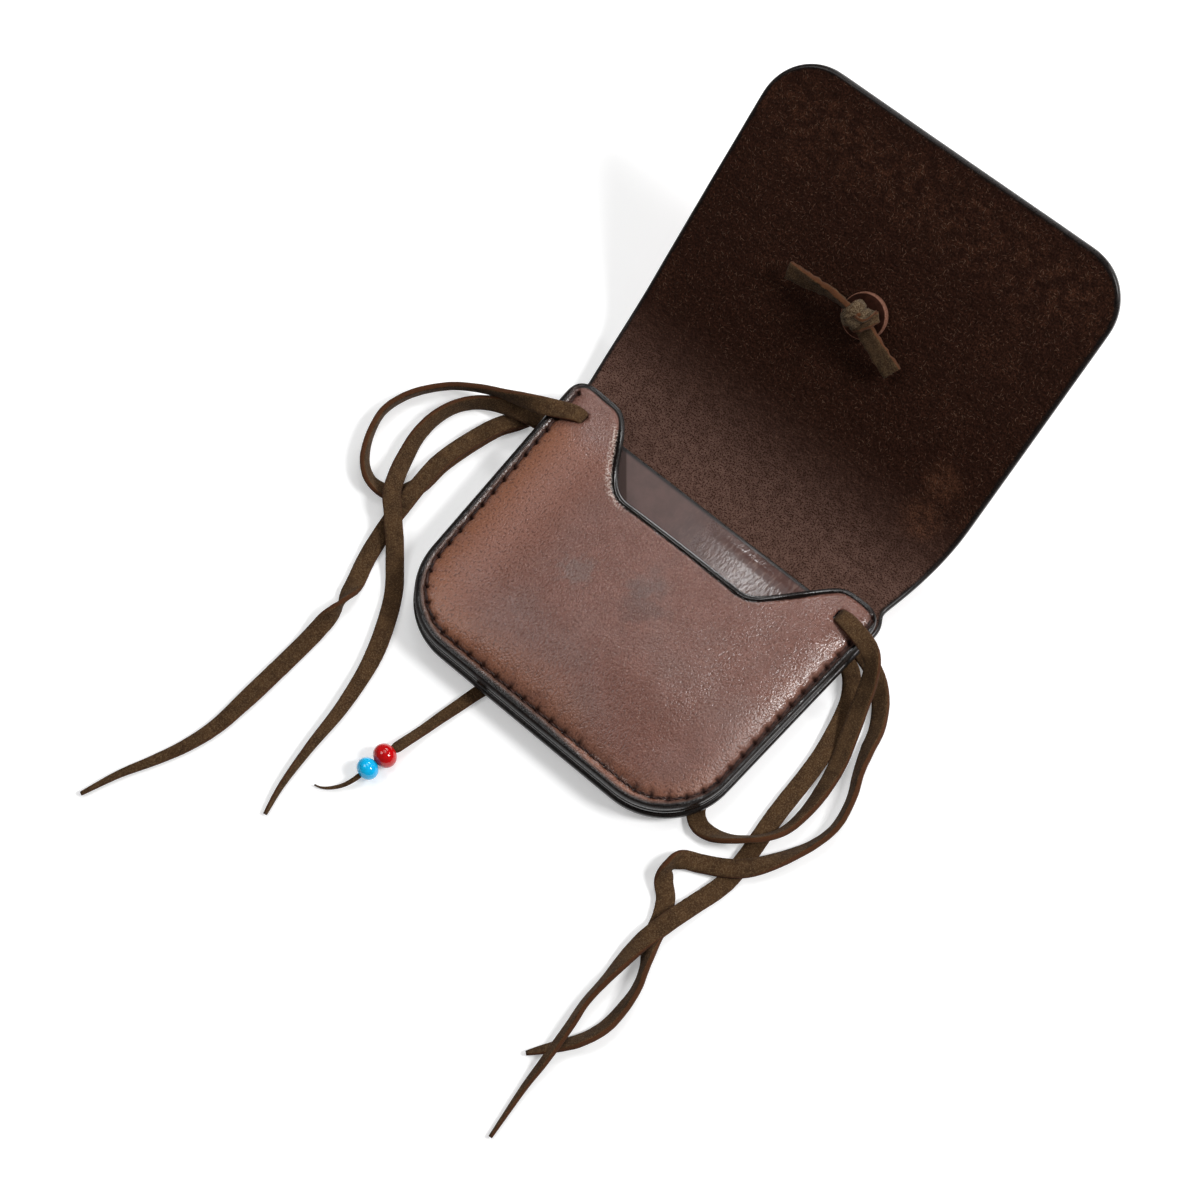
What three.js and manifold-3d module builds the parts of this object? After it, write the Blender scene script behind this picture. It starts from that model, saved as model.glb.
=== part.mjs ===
// Leather belt pouch lying on its back with the flap open: a stitched pocket with a scooped mouth,
// a back that runs on into the flap, suede ties through the ears and a beaded closing thong.
// Millimetres, +Z up. X runs along the fold, Y from the pocket towards the flap.
import * as THREE from "three";
import { mergeVertices } from "three/addons/utils/BufferGeometryUtils.js";
import Module from "manifold-3d";

const wasm = await Module();
wasm.setup();

// Pocket outline, with y = 0 on the fold line and the bottom edge below it
const mouthHalfWidth = 62.5;
const bottomHalfWidth = 57.6;
const pouchHeight = 98;
const cornerRadius = 23;
const earRadius = 6.2;
const earDrop = 1.5;
const scoopDepth = 25;
const scoopFloorHalfWidth = 23.1;
const scoopShift = 1.6;
const shoulderWidth = 24.5;

// Leather layers
const frontThickness = 3.2;
const liningThickness = 2.8;
const backThickness = 3;
const flapThickness = 3;
const layerGap = 0.25;
const edgeRound = 0.8;
const backProud = 0.8;
const liningDrop = 8;

// Pocket shape: how far the front bellies out, and how far the rim turns up off the table
const pocketDepth = 10.5;
const bellyRun = 30;
const earFlatten = 0.65;
const rimLift = 3.6;
const rimBand = 24;

// Flap
const flapLength = 131.5;
const flapHalfWidth = 64.8;
const flapRootHalfWidth = 60.3;
const flapCornerRadius = 18;
const flareLength = 40;
const neckLength = 41;
const flapRise = 42.4;
const foldGap = 0.3;

// Seam
const stitchInset = 4;
const stitchTop = 5.5;
const threadRadius = 0.5;
const threadGap = 0.4;
const threadHoleClearance = 0.6;

// Ties and their slots in the ears
const laceWidth = 5.5;
const laceThickness = 1.6;
const tieSlotInset = 11;
const tieSlotDrop = 11.8;
const tieSlotAcross = 4.4;
const tieSlotClearance = 0.7;

// Closing thong and beads
const thongWidth = 5;
const thongTailRadius = 0.7;
const thongSlotX = -16.4;
const thongSlotRise = 10.4;
const thongSlotAcross = 3.4;
const redBeadRadius = 3.85;
const redBeadLength = 6.3;
const blueBeadRadius = 3.5;
const blueBeadLength = 5.8;
const beadHoleClearance = 0.45;

// Flap tie and washer
const knotReach = 75.5;
const washerRadius = 6.6;
const washerThickness = 2.4;
const knotHalfLength = 6.8;
const knotHalfWidth = 5.4;
const knotHalfHeight = 3.4;
const flapLaceWidth = 4.6;
const flapLaceThickness = 1.5;
const flapHoleClearance = 0.5;
const keeperLoopLength = 13;
const keeperLoopHalfWidth = 3.2;
const knotTailEnds = [[-26.5, -3.3], [18.8, -12.2]];

// Grid and section counts
const panelColumns = 20;
const panelRows = 16;
const flapColumns = 12;
const flapRows = 17;
const laceStepsPerSpan = 1;
const roundSides = 16;

// Ways along the ties, as points on their middle line: x, y, z
const leftTieRoute = [
  [-42.1, -168.9, 0.9], [-44.3, -160, 0.9], [-46, -146, 0.9], [-47.4, -129, 0.9], [-50.8, -112.9, 0.9],
  [-55.7, -100.7, 0.9], [-61.5, -90.7, 0.9], [-67.2, -84, 1.8], [-71, -79.6, 3.6], [-74.3, -76.3, 4.9],
  [-78.4, -72.3, 5.1], [-82.5, -68.3, 4.9], [-85.9, -62.2, 3.6], [-89, -54.6, 1.5], [-91, -47, 0.9],
  [-91, -39.5, 0.9], [-89.2, -32.6, 0.9], [-85.6, -27.6, 1.6], [-81, -24.4, 2.8], [-75.6, -22.2, 4.4],
  [-70.6, -20.6, 4.7], [-66.6, -18.9, 3.1], [-62.9, -17, 1.5], [-59, -14.9, 0.9], [-55.3, -12.9, 0.95],
  [-52.3, -12, 1.6], [-51.3, -11.8, 3.6], [-51.3, -11.8, 8], [-51.4, -11.8, 13], [-52.4, -12.1, 15.2],
  [-55, -13.2, 16.3], [-59.4, -15.4, 15.7], [-65, -18, 13.6], [-70.6, -19.5, 11.4], [-77, -20.9, 8.8],
  [-85.3, -23, 5.2], [-95, -28, 2], [-102.8, -37.6, 0.9], [-105.3, -47.3, 0.9], [-103.6, -54.8, 0.9],
  [-100.7, -60.8, 0.9], [-96.7, -65.7, 0.9], [-91.6, -68.4, 0.9], [-86.1, -68, 0.9], [-81.9, -65, 0.9],
  [-79.6, -59, 0.9], [-79.1, -48, 0.9], [-77.6, -37, 0.9], [-74.2, -28.4, 0.9], [-72, -24.6, 0.95],
  [-71.2, -23.2, 1.95], [-72, -24.6, 2.95], [-74.2, -28.4, 3], [-77.6, -37, 3], [-79.1, -48, 3],
  [-79, -59, 3], [-78.3, -67, 2.95], [-77.7, -74, 2.6], [-77.2, -80, 1.5], [-75.5, -87.6, 0.9],
  [-71.9, -98.3, 0.9], [-70, -106.5, 0.9], [-70.4, -115.8, 0.9], [-70.9, -131.2, 0.9], [-71.6, -147, 0.9],
  [-72.6, -159, 0.9], [-75.2, -168.8, 0.9], [-79.2, -178.2, 0.9], [-84.3, -188.5, 0.9], [-88.7, -200.3, 0.9],
];
const rightTieRoute = [
  [63.9, -171.2, 0.9], [69.6, -163.9, 0.9], [73.6, -158.4, 0.9], [76.4, -151.5, 0.9], [77, -144, 0.9],
  [76.3, -136.6, 0.9], [74, -130, 0.9], [70.6, -123, 0.9], [68.4, -116, 0.9], [65.6, -110.6, 0.9],
  [61.6, -106.8, 0.9], [60.1, -102.6, 0.9], [62, -98.6, 0.9], [66.6, -96, 1.2], [72.4, -93, 2.4],
  [77.6, -89.2, 3], [81.6, -84.2, 2.6], [85.6, -77.2, 1.2], [88.9, -70, 0.9], [90.6, -61.6, 0.9],
  [88.8, -51.6, 0.9], [85.6, -44, 0.9], [83.2, -36.4, 0.9], [81.4, -29.6, 0.9], [77.4, -22.4, 0.9],
  [72.4, -17.2, 0.9], [67.2, -14, 1], [62.6, -12.4, 1], [57.8, -11.8, 0.95], [55, -11.8, 0.95],
  [52.3, -11.8, 1.6], [51.3, -11.8, 3.6], [51.3, -11.8, 8], [51.4, -11.8, 13], [52.4, -12, 15.2],
  [55, -12.4, 16.3], [60, -13.3, 15.9], [64.6, -14.6, 14.4], [68.6, -17.4, 11.6], [71.2, -22, 8],
  [73.4, -28.4, 4.8], [76.2, -36.4, 2.6], [79, -45.4, 1.2], [80.6, -55.2, 0.9], [80.8, -64.9, 0.9],
  [79.6, -72.6, 1.6], [76.8, -78.2, 2.9], [73, -82.2, 2.95], [69, -85.2, 2], [64.8, -87, 1],
  [60, -87.4, 0.9], [56.4, -85.4, 0.9], [54, -80.8, 0.9], [53.6, -72, 0.9], [54, -60, 0.9],
  [54.4, -45, 0.9], [54.8, -31, 0.9], [55.6, -23, 0.9], [58.4, -19, 0.9], [62, -18.4, 0.9],
  [65.4, -20.8, 0.9], [68.2, -25.2, 0.9], [70.7, -32, 0.9], [73.2, -44.2, 0.9], [74.4, -57.7, 0.9],
  [74.6, -69.9, 0.9], [75, -79, 0.9], [76, -87, 0.9], [75.9, -96, 0.9], [73, -107.4, 1.8],
  [70.6, -116.8, 2.9], [68.8, -125.6, 2.2], [68.4, -132, 1], [67.9, -140, 0.9], [67.6, -149.6, 0.9],
  [68.6, -157.2, 2], [69.4, -164.2, 2.9], [69.6, -170.4, 2], [69.8, -178, 0.9], [71.6, -195.4, 0.9],
];
const thongRoute = [
  [-16.4, -87.6, 4.9], [-16.4, -87.7, 3.2], [-16.6, -88.7, 1.7], [-17.1, -91, 1], [-18.1, -95.6, 0.9],
  [-19.4, -100, 0.9], [-20.8, -106, 0.9], [-22.2, -112, 0.9], [-23.6, -118.6, 1.1], [-24.6, -123.4, 2],
  [-25.3, -127, 3.3],
];
const thongTailRoute = [
  [-25.2, -126.4, 3.1], [-25.6, -129, 3.9], [-26.3, -132.6, 3.95], [-27.6, -138.9, 3.75],
  [-28.4, -143, 2.9], [-30.2, -147, 1.5], [-32.8, -150.2, 0.9], [-35.2, -152, 0.8], [-37.1, -152.6, 0.8],
];
const [, , redBeadPlace, blueBeadPlace] = thongTailRoute;

const riseAngle = THREE.MathUtils.degToRad(flapRise);
const neckRadius = neckLength / riseAngle;
const liningUnder = backThickness + layerGap;
const frontUnder = liningUnder + liningThickness + layerGap;
const cornerStart = pouchHeight - cornerRadius;
const tieSlotX = mouthHalfWidth - tieSlotInset;

const ease = (value) => THREE.MathUtils.smoothstep(value, 0, 1);
const arcDrop = (share) => 1 - Math.sqrt(Math.max(0, 1 - Math.min(1, share) ** 2));
const vector = (point) => new THREE.Vector3(...point);

// Half width of the straight, slightly tapered sides
function taper(y) {
  const share = THREE.MathUtils.clamp(-y / pouchHeight, 0, 1);
  return THREE.MathUtils.lerp(mouthHalfWidth, bottomHalfWidth, share);
}

// Half width of a layer that stands proud of the pocket outline, with round corners below and at the ears
function halfWidth(y, proud, topY, earPull = earRadius + proud) {
  const below = (-cornerStart - y) / (cornerRadius + proud);
  const above = (y - (topY - earRadius)) / earRadius;
  let width = taper(y) + proud;
  if (below > 0) width -= (cornerRadius + proud) * arcDrop(below);
  if (above > 0) width -= earPull * arcDrop(above);
  return width;
}

// How far the leather is turned up off the table, along the sides and the bottom
function rimTurnUp(x, y) {
  const fromSide = ease((taper(y) - Math.abs(x)) / rimBand);
  const fromBottom = ease((y + pouchHeight) / rimBand);
  return rimLift * (1 - fromSide * fromBottom);
}

// How far the front bellies out over the lining: none at the seam, flatter at the ears
function belly(x, y) {
  const across = Math.abs(x) / (taper(y) - stitchInset);
  if (across >= 1) return 0;
  const up = THREE.MathUtils.clamp((y + pouchHeight - stitchInset) / bellyRun, 0, 1);
  const ears = 1 - earFlatten * ease((y + earDrop + scoopDepth) / scoopDepth);
  return pocketDepth * (1 - across ** 2) * (1 + 0.6 * across ** 2) * (1 - (1 - up) ** 2) * ears;
}

const frontUnderside = (x, y) => rimTurnUp(x, y) + frontUnder + belly(x, y);

// Top edge of the front: two ears with an S-shaped shoulder down to the scoop's floor
function mouthEdge(x) {
  const off = Math.abs(x - scoopShift);
  return -earDrop - scoopDepth * ease((scoopFloorHalfWidth + shoulderWidth - off) / shoulderWidth);
}

function positionsOnly(geometry) {
  const bare = new THREE.BufferGeometry();
  bare.setAttribute("position", geometry.getAttribute("position").clone());
  if (geometry.index) bare.setIndex(geometry.index.clone());
  return mergeVertices(bare, 1e-4);
}

function toSolid(geometry) {
  const merged = positionsOnly(geometry);
  const vertProperties = new Float32Array(merged.attributes.position.array);
  const triVerts = new Uint32Array(merged.index.array);
  return new wasm.Manifold(new wasm.Mesh({ numProp: 3, vertProperties, triVerts }));
}

function toGeometry(solid) {
  const mesh = solid.getMesh();
  const geometry = new THREE.BufferGeometry();
  geometry.setAttribute("position", new THREE.BufferAttribute(new Float32Array(mesh.vertProperties), 3));
  geometry.setIndex(new THREE.BufferAttribute(new Uint32Array(mesh.triVerts), 1));
  geometry.computeVertexNormals();
  return geometry;
}

const cut = (geometry, ...cutters) =>
  toGeometry(cutters.reduce((solid, cutter) => solid.subtract(toSolid(cutter)), toSolid(geometry)));
const join = (first, ...others) =>
  toGeometry(others.reduce((solid, other) => solid.add(toSolid(other)), toSolid(first)));

// A sheet as a grid of columns and rows, two layers thick so that its edge can be round.
// place(u, v, t): u from -1 to 1 across, v from 0 at the top edge to 1, t from -1 to 1 through the sheet.
function sheet(columns, rows, place) {
  const geometry = positionsOnly(new THREE.BoxGeometry(2, 1, 2, columns, rows, 2));
  const position = geometry.getAttribute("position");
  for (let i = 0; i < position.count; i++) {
    const v = 0.5 - position.getY(i);
    position.setXYZ(i, ...place(position.getX(i), v, position.getZ(i)));
  }
  return geometry;
}

// Rows lie closer together at the two ends of a sheet, where its corners are round
const rowShare = (v) => v - 0.1 * Math.sin(2 * Math.PI * v);

// The outermost column but one lies along the stitch line
function columnShare(u) {
  const inner = 1 - 2 / panelColumns;
  return Math.abs(u) > inner + 1e-6 ? u : (u / inner) * (1 - stitchInset / mouthHalfWidth);
}

// A pocket layer between its own top edge and the bottom of the outline
function pocketLayer({ proud, topEdge, earTop, earPull, underside, thickness, squareTop }) {
  return sheet(panelColumns, panelRows, (u, v, t) => {
    const pull = edgeRound * Math.abs(t);
    const share = columnShare(u);
    const top = topEdge(share * mouthHalfWidth);
    let y = THREE.MathUtils.lerp(top, -pouchHeight - proud, rowShare(v));
    const across = halfWidth(y, proud, earTop, earPull) - (Math.abs(u) === 1 ? pull : 0);
    if (v === 0 && !squareTop) y -= pull;
    if (v === 1) y += pull;
    const x = share * across;
    return [x, y, underside(x, y) + (thickness * (t + 1)) / 2];
  });
}

// A point of the flap at a reach along it from the fold, and a height above its outer face
function flapPoint(x, reach, height) {
  const angle = Math.min(reach / neckLength, 1) * riseAngle;
  const straight = Math.max(0, reach - neckLength);
  const lift = rimTurnUp(x, 0) * (1 - ease(reach / neckLength)) + height;
  const y = neckRadius * Math.sin(angle) + straight * Math.cos(angle) - lift * Math.sin(angle);
  const z = neckRadius * (1 - Math.cos(angle)) + straight * Math.sin(angle) + lift * Math.cos(angle);
  return [x, y + foldGap / 2, z];
}

function flapHalfWidthAt(reach) {
  const flare = Math.sin((Math.min(1, reach / flareLength) * Math.PI) / 2);
  const corner = (reach - (flapLength - flapCornerRadius)) / flapCornerRadius;
  const width = THREE.MathUtils.lerp(flapRootHalfWidth, flapHalfWidth, flare);
  return corner > 0 ? width - flapCornerRadius * arcDrop(corner) : width;
}

function flapSheet() {
  return sheet(flapColumns, flapRows, (u, v, t) => {
    const pull = edgeRound * Math.abs(t);
    const reach = flapLength * (1 - rowShare(v)) - (v === 0 ? pull : 0);
    const across = flapHalfWidthAt(reach) - (Math.abs(u) === 1 ? pull : 0);
    return flapPoint(u * across, reach, (flapThickness * (t + 1)) / 2);
  });
}

// A flat lace's middle line. Its section stays level where the lace lies, and is carried on round steep bends.
class LaceLine extends THREE.CatmullRomCurve3 {
  getSpacedPoints(divisions) {
    return this.getPoints(divisions);
  }

  computeFrenetFrames(segments) {
    const up = new THREE.Vector3(0, 0, 1);
    const tangents = [];
    const normals = [];
    const binormals = [];
    for (let i = 0; i <= segments; i++) {
      const tangent = this.getTangent(i / segments);
      const level = new THREE.Vector3().crossVectors(tangent, up);
      const across = level.clone();
      if (i > 0) {
        const carried = normals[i - 1].clone().addScaledVector(tangent, -normals[i - 1].dot(tangent)).normalize();
        const sign = Math.sign(carried.dot(level)) || 1;
        across.multiplyScalar(sign * level.length()).addScaledVector(carried, 1 - level.lengthSq());
      }
      across.normalize();
      tangents.push(tangent);
      normals.push(across);
      binormals.push(new THREE.Vector3().crossVectors(tangent, across));
    }
    return { tangents, normals, binormals };
  }
}

// Eight-sided flat section with eased edges
function flatSection(width, thickness) {
  const [a, b] = [width / 2, thickness / 2];
  const eased = thickness / 4;
  const corners = [
    [a, -b + eased], [a, b - eased], [a - eased, b], [-a + eased, b],
    [-a, b - eased], [-a, -b + eased], [-a + eased, -b], [a - eased, -b],
  ];
  return new THREE.Shape(corners.map(([x, y]) => new THREE.Vector2(x, y)));
}

function lace(route, width, thickness, perSpan = laceStepsPerSpan) {
  const extrudePath = new LaceLine(route.map(vector), false, "centripetal");
  const steps = (route.length - 1) * perSpan;
  return new THREE.ExtrudeGeometry(flatSection(width, thickness), { extrudePath, steps, bevelEnabled: false });
}

function roundSection(radius, sides) {
  const turn = (i) => (2 * Math.PI * i) / sides;
  const corner = (i) => new THREE.Vector2(radius * Math.cos(turn(i)), radius * Math.sin(turn(i)));
  return new THREE.Shape(Array.from({ length: sides }, (_, i) => corner(i)));
}

function cord(route, radius, sides, steps) {
  const extrudePath = new LaceLine(route.map(vector), false, "centripetal");
  return new THREE.ExtrudeGeometry(roundSection(radius, sides), { extrudePath, steps, bevelEnabled: false });
}

// A slot with round ends, cut upright through every layer
function slotCutter(x, y, across, along) {
  const shape = new THREE.Shape();
  const end = across / 2;
  const half = along / 2 - end;
  shape.absarc(0, half, end, 0, Math.PI);
  shape.absarc(0, -half, end, Math.PI, 2 * Math.PI);
  const depth = 2 * (rimLift + frontUnder + pocketDepth + frontThickness);
  const cutter = new THREE.ExtrudeGeometry(shape, { depth, bevelEnabled: false, curveSegments: 6 });
  return cutter.translate(x, y, -depth / 4);
}

const tieSlots = [-1, 1].map((side) =>
  slotCutter(side * tieSlotX, -tieSlotDrop, tieSlotAcross, laceWidth + 2 * tieSlotClearance),
);
const threadHoleX = taper(-stitchTop) - stitchInset;
const threadHoleSize = 2 * (threadRadius + threadHoleClearance);
const threadHoles = [-1, 1].map((side) =>
  slotCutter(side * threadHoleX, -stitchTop, threadHoleSize, threadHoleSize + 0.01),
);
const thongSlot = slotCutter(
  thongSlotX, thongSlotRise - pouchHeight, thongSlotAcross, thongWidth + 2 * tieSlotClearance,
).translate(-thongSlotX, pouchHeight - thongSlotRise, 0).rotateZ(Math.PI / 2)
  .translate(thongSlotX, thongSlotRise - pouchHeight, 0);

function frontPanel() {
  const panel = pocketLayer({
    proud: 0, topEdge: mouthEdge, earTop: -earDrop, underside: frontUnderside, thickness: frontThickness,
  });
  return cut(panel, ...tieSlots, ...threadHoles);
}

function backLining() {
  const underside = (x, y) => rimTurnUp(x, y) + liningUnder;
  const layer = pocketLayer({
    proud: 0, topEdge: () => -liningDrop, earTop: earRadius, underside, thickness: liningThickness,
  });
  return cut(layer, ...tieSlots);
}

function backPanel() {
  const panel = pocketLayer({
    proud: backProud, topEdge: () => -foldGap / 2, earTop: 0,
    earPull: mouthHalfWidth + backProud - flapRootHalfWidth,
    underside: rimTurnUp, thickness: backThickness, squareTop: true,
  });
  return cut(panel, ...tieSlots, ...threadHoles, thongSlot);
}

// The stitch line from one ear round the bottom to the other
function stitchLine() {
  const points = [];
  const sideSteps = 14;
  const cornerSteps = 8;
  const radius = cornerRadius - stitchInset;
  const centreX = taper(-cornerStart) - cornerRadius;
  for (let i = 0; i < sideSteps; i++) {
    const y = THREE.MathUtils.lerp(-stitchTop, -cornerStart, i / sideSteps);
    points.push([taper(y) - stitchInset, y]);
  }
  for (let i = 0; i <= cornerSteps; i++) {
    const turn = ((Math.PI / 2) * i) / cornerSteps;
    points.push([centreX + radius * Math.cos(turn), -cornerStart - radius * Math.sin(turn)]);
  }
  const bottomY = stitchInset - pouchHeight;
  const middle = [[centreX / 2, bottomY], [0, bottomY], [-centreX / 2, bottomY]];
  const mirrored = points.map(([x, y]) => [-x, y]).reverse();
  return [...points, ...middle, ...mirrored];
}

// One thread: along the front, down through the last hole, back along the outer back
function seamThread() {
  const off = threadGap + threadRadius;
  const line = stitchLine();
  const front = line.map(([x, y]) => [x, y, frontUnderside(x, y) + frontThickness + off]);
  const behind = line.map(([x, y]) => [x, y, rimTurnUp(x, y) - off]).reverse();
  const middleZ = (front[0][2] + behind[0][2]) / 2;
  const holeStart = [front[0][0], front[0][1], middleZ + off];
  const holeEnd = [front[0][0], front[0][1], middleZ - off];
  const farHole = [behind[0][0], behind[0][1], middleZ];
  const route = [holeStart, ...front, farHole, ...behind, holeEnd];
  return cord(route, threadRadius, 6, route.length - 1);
}

function bead(radius, length) {
  const hole = thongTailRadius + beadHoleClearance;
  const profile = [];
  const steps = 8;
  const reach = Math.acos((hole / radius) ** 1.25);
  for (let i = 0; i <= steps; i++) {
    const turn = THREE.MathUtils.lerp(-reach, reach, i / steps);
    const [x, y] = [Math.cos(turn) ** 0.8 * radius, (Math.sin(turn) / Math.sin(reach)) * (length / 2)];
    profile.push(new THREE.Vector2(x, y));
  }
  profile.push(profile[0].clone());
  return new THREE.LatheGeometry(profile, roundSides);
}

function closingThong() {
  const tail = cord(thongTailRoute, thongTailRadius, 8, (thongTailRoute.length - 1) * 2);
  return join(lace(thongRoute, thongWidth, laceThickness), tail);
}

const knotBase = flapThickness;
const washerTop = layerGap + washerThickness;
const knotCentre = washerTop + layerGap + knotHalfHeight;
const stemRadius = Math.hypot(flapLaceWidth, 2 * flapLaceThickness + layerGap) / 2;
const flapHoleRadius = stemRadius + flapHoleClearance;

function knotWasher() {
  const inner = flapHoleRadius;
  const corners = [
    [inner, layerGap], [washerRadius - edgeRound, layerGap], [washerRadius, layerGap + edgeRound],
    [washerRadius, washerTop - edgeRound], [washerRadius - edgeRound, washerTop], [inner, washerTop],
    [inner, layerGap],
  ];
  const ring = new THREE.LatheGeometry(corners.map(([r, h]) => new THREE.Vector2(r, h)), 2 * roundSides);
  return ring.rotateX(Math.PI / 2);
}

// Knot, two tails and the keeper loop on the flap's outer face, in the flap's own frame
function flapTie() {
  const knot = new THREE.SphereGeometry(1, roundSides, roundSides / 2);
  knot.scale(knotHalfLength, knotHalfWidth, knotHalfHeight).translate(0, 0, knotCentre);
  const rest = layerGap + flapLaceThickness / 2;
  const tails = knotTailEnds.map(([endX, endY]) => {
    const height = (share) => THREE.MathUtils.lerp(knotCentre, rest, ease(1.5 * share - 0.2));
    const point = (share) => [share * endX, share * endY, height(share)];
    return lace([0.1, 0.25, 0.4, 0.55, 0.75, 1].map(point), flapLaceWidth, flapLaceThickness);
  });
  const legY = (flapLaceThickness + layerGap) / 2;
  const outer = -flapThickness;
  const bulge = outer - keeperLoopLength * 0.62;
  const loop = lace(
    [[0, legY, knotCentre], [0, legY, 0], [0, legY, outer - 1.5],
      [0, keeperLoopHalfWidth, bulge], [0, keeperLoopHalfWidth * 0.75, outer - keeperLoopLength * 0.9],
      [0, 0, outer - keeperLoopLength], [0, -keeperLoopHalfWidth * 0.75, outer - keeperLoopLength * 0.9],
      [0, -keeperLoopHalfWidth, bulge], [0, -legY, outer - 1.5], [0, -legY, 0], [0, -legY, knotCentre]],
    flapLaceWidth, flapLaceThickness,
  );
  return join(knot, ...tails, loop);
}

function flap() {
  const hole = new THREE.CylinderGeometry(flapHoleRadius, flapHoleRadius, 6 * flapThickness, roundSides);
  hole.rotateX(Math.PI / 2).applyMatrix4(flapFrame.matrix);
  return cut(flapSheet(), hole);
}

function named(name, geometry, color, roughness, metalness = 0) {
  const mesh = new THREE.Mesh(geometry, new THREE.MeshStandardMaterial({ color, roughness, metalness }));
  mesh.name = name;
  return mesh;
}

// The frame of the flap's inner face at the knot
const flapFrame = new THREE.Group();
flapFrame.position.set(...flapPoint(0, knotReach, knotBase));
flapFrame.rotation.x = riseAngle;
flapFrame.updateMatrix();
flapFrame.add(
  named("flap_tie", flapTie(), 0x4a3a28, 0.95),
  named("knot_washer", knotWasher(), 0x6b3c22, 0.7),
);

const leather = new THREE.Group();
leather.add(
  named("front_panel", frontPanel(), 0x78584e, 0.5),
  named("back_lining", backLining(), 0x695a55, 0.45),
  named("back_panel", backPanel(), 0x4a2f24, 0.6),
  named("flap", flap(), 0x2d1c14, 0.9),
  named("seam_thread", seamThread(), 0x24140e, 0.8),
  flapFrame,
);

function placedBead(name, geometry, place, along, color) {
  const mesh = named(name, geometry, color, 0.15);
  mesh.position.set(...place);
  mesh.quaternion.setFromUnitVectors(new THREE.Vector3(0, 1, 0), along);
  return mesh;
}

const beadLine = vector(redBeadPlace).sub(vector(blueBeadPlace)).normalize();
const ties = new THREE.Group();
ties.add(
  named("left_tie", lace(leftTieRoute, laceWidth, laceThickness), 0x4b3a28, 0.95),
  named("right_tie", lace(rightTieRoute, laceWidth, laceThickness), 0x4b3a28, 0.95),
  named("closing_thong", closingThong(), 0x4b3a28, 0.95),
  placedBead("red_bead", bead(redBeadRadius, redBeadLength), redBeadPlace, beadLine, 0xc8050f),
  placedBead("blue_bead", bead(blueBeadRadius, blueBeadLength), blueBeadPlace, beadLine, 0x19aaf5),
);

// The origin is under the middle of the leather, on the surface that the pouch lies on
const pouch = new THREE.Group();
pouch.add(leather, ties);
pouch.updateMatrixWorld(true);
pouch.position.y = -new THREE.Box3().setFromObject(leather, true).getCenter(new THREE.Vector3()).y;
pouch.updateMatrixWorld(true);

export default new THREE.Group().add(pouch);
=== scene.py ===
import math
import bpy
import numpy as np
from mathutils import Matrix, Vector, kdtree, noise
from mathutils.geometry import delaunay_2d_cdt


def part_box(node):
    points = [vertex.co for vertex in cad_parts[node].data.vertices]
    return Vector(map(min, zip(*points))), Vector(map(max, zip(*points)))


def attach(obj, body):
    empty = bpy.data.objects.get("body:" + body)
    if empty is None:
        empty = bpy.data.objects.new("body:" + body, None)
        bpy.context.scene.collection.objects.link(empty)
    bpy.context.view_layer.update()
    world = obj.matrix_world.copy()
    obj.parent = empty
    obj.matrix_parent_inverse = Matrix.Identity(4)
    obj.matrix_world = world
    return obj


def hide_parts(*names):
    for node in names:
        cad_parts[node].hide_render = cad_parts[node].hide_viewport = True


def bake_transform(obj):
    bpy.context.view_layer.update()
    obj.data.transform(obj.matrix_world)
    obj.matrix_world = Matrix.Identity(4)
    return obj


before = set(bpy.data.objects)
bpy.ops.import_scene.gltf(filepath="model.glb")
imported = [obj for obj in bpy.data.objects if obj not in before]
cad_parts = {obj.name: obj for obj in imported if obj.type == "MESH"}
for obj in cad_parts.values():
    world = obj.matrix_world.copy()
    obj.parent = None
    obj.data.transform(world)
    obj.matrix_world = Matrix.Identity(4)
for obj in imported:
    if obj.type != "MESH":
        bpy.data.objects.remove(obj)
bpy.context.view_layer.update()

mm = 0.001

# Sizes in millimetres, with y = 0 on the fold line
pouch = {
    "mouthHalfWidth": 62.5, "bottomHalfWidth": 57.6, "height": 98, "cornerRadius": 23,
    "earRadius": 6.2, "earDrop": 1.5, "earTilt": 1.2, "earTiltFrom": 20, "earTiltRun": 18, "earFlatten": 0.65,
    "scoopDepth": 25, "scoopFloor": 23.1, "scoopShift": 1.6, "shoulder": 24.5,
    "frontThickness": 3.2, "liningThickness": 2.8, "backThickness": 3, "layerGap": 0.25,
    "backProud": 0.8, "liningDrop": 8, "pocketDepth": 10.5, "bellyRun": 30, "bellyFill": 0.6,
    "rimLift": 3.6, "rimBand": 24, "foldGap": 0.3, "foldGapRun": 4,
    "stitchInset": 4, "stitchTop": 5.5, "stitchPitch": 5.4,
    "seamOutRight": 1.8, "seamOutLeft": 0.5, "seamOutRun": 25,
    "tieSlotX": 51.5, "tieSlotDrop": 11.8, "tieSlotAcross": 4.4, "tieSlotLength": 6.9,
}
flapCut = {
    "length": 131.5, "halfWidth": 64.9, "cornerRadius": 18, "rootHalfWidth": 60.3, "flare": 40, "neck": 41,
    "rise": 42.4, "knotReach": 75.5, "knotHole": 3.2, "blendFrom": 4, "blendTo": 45.0,
}
outlineCut = {"frontStep": 0.5, "frontPasses": 14, "sheetStep": 0.6, "sheetPasses": 8, "seamStep": 0.25}
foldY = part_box("back_panel")[1][1] / mm + pouch["foldGap"] / 2
liningUnder = pouch["backThickness"] + pouch["layerGap"]
frontUnder = liningUnder + pouch["liningThickness"] + pouch["layerGap"]
cornerStart = pouch["height"] - pouch["cornerRadius"]
neckHalfWidth = pouch["mouthHalfWidth"] - pouch["earRadius"]
riseAngle = math.radians(flapCut["rise"])
neckRadius = flapCut["neck"] / riseAngle


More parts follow.
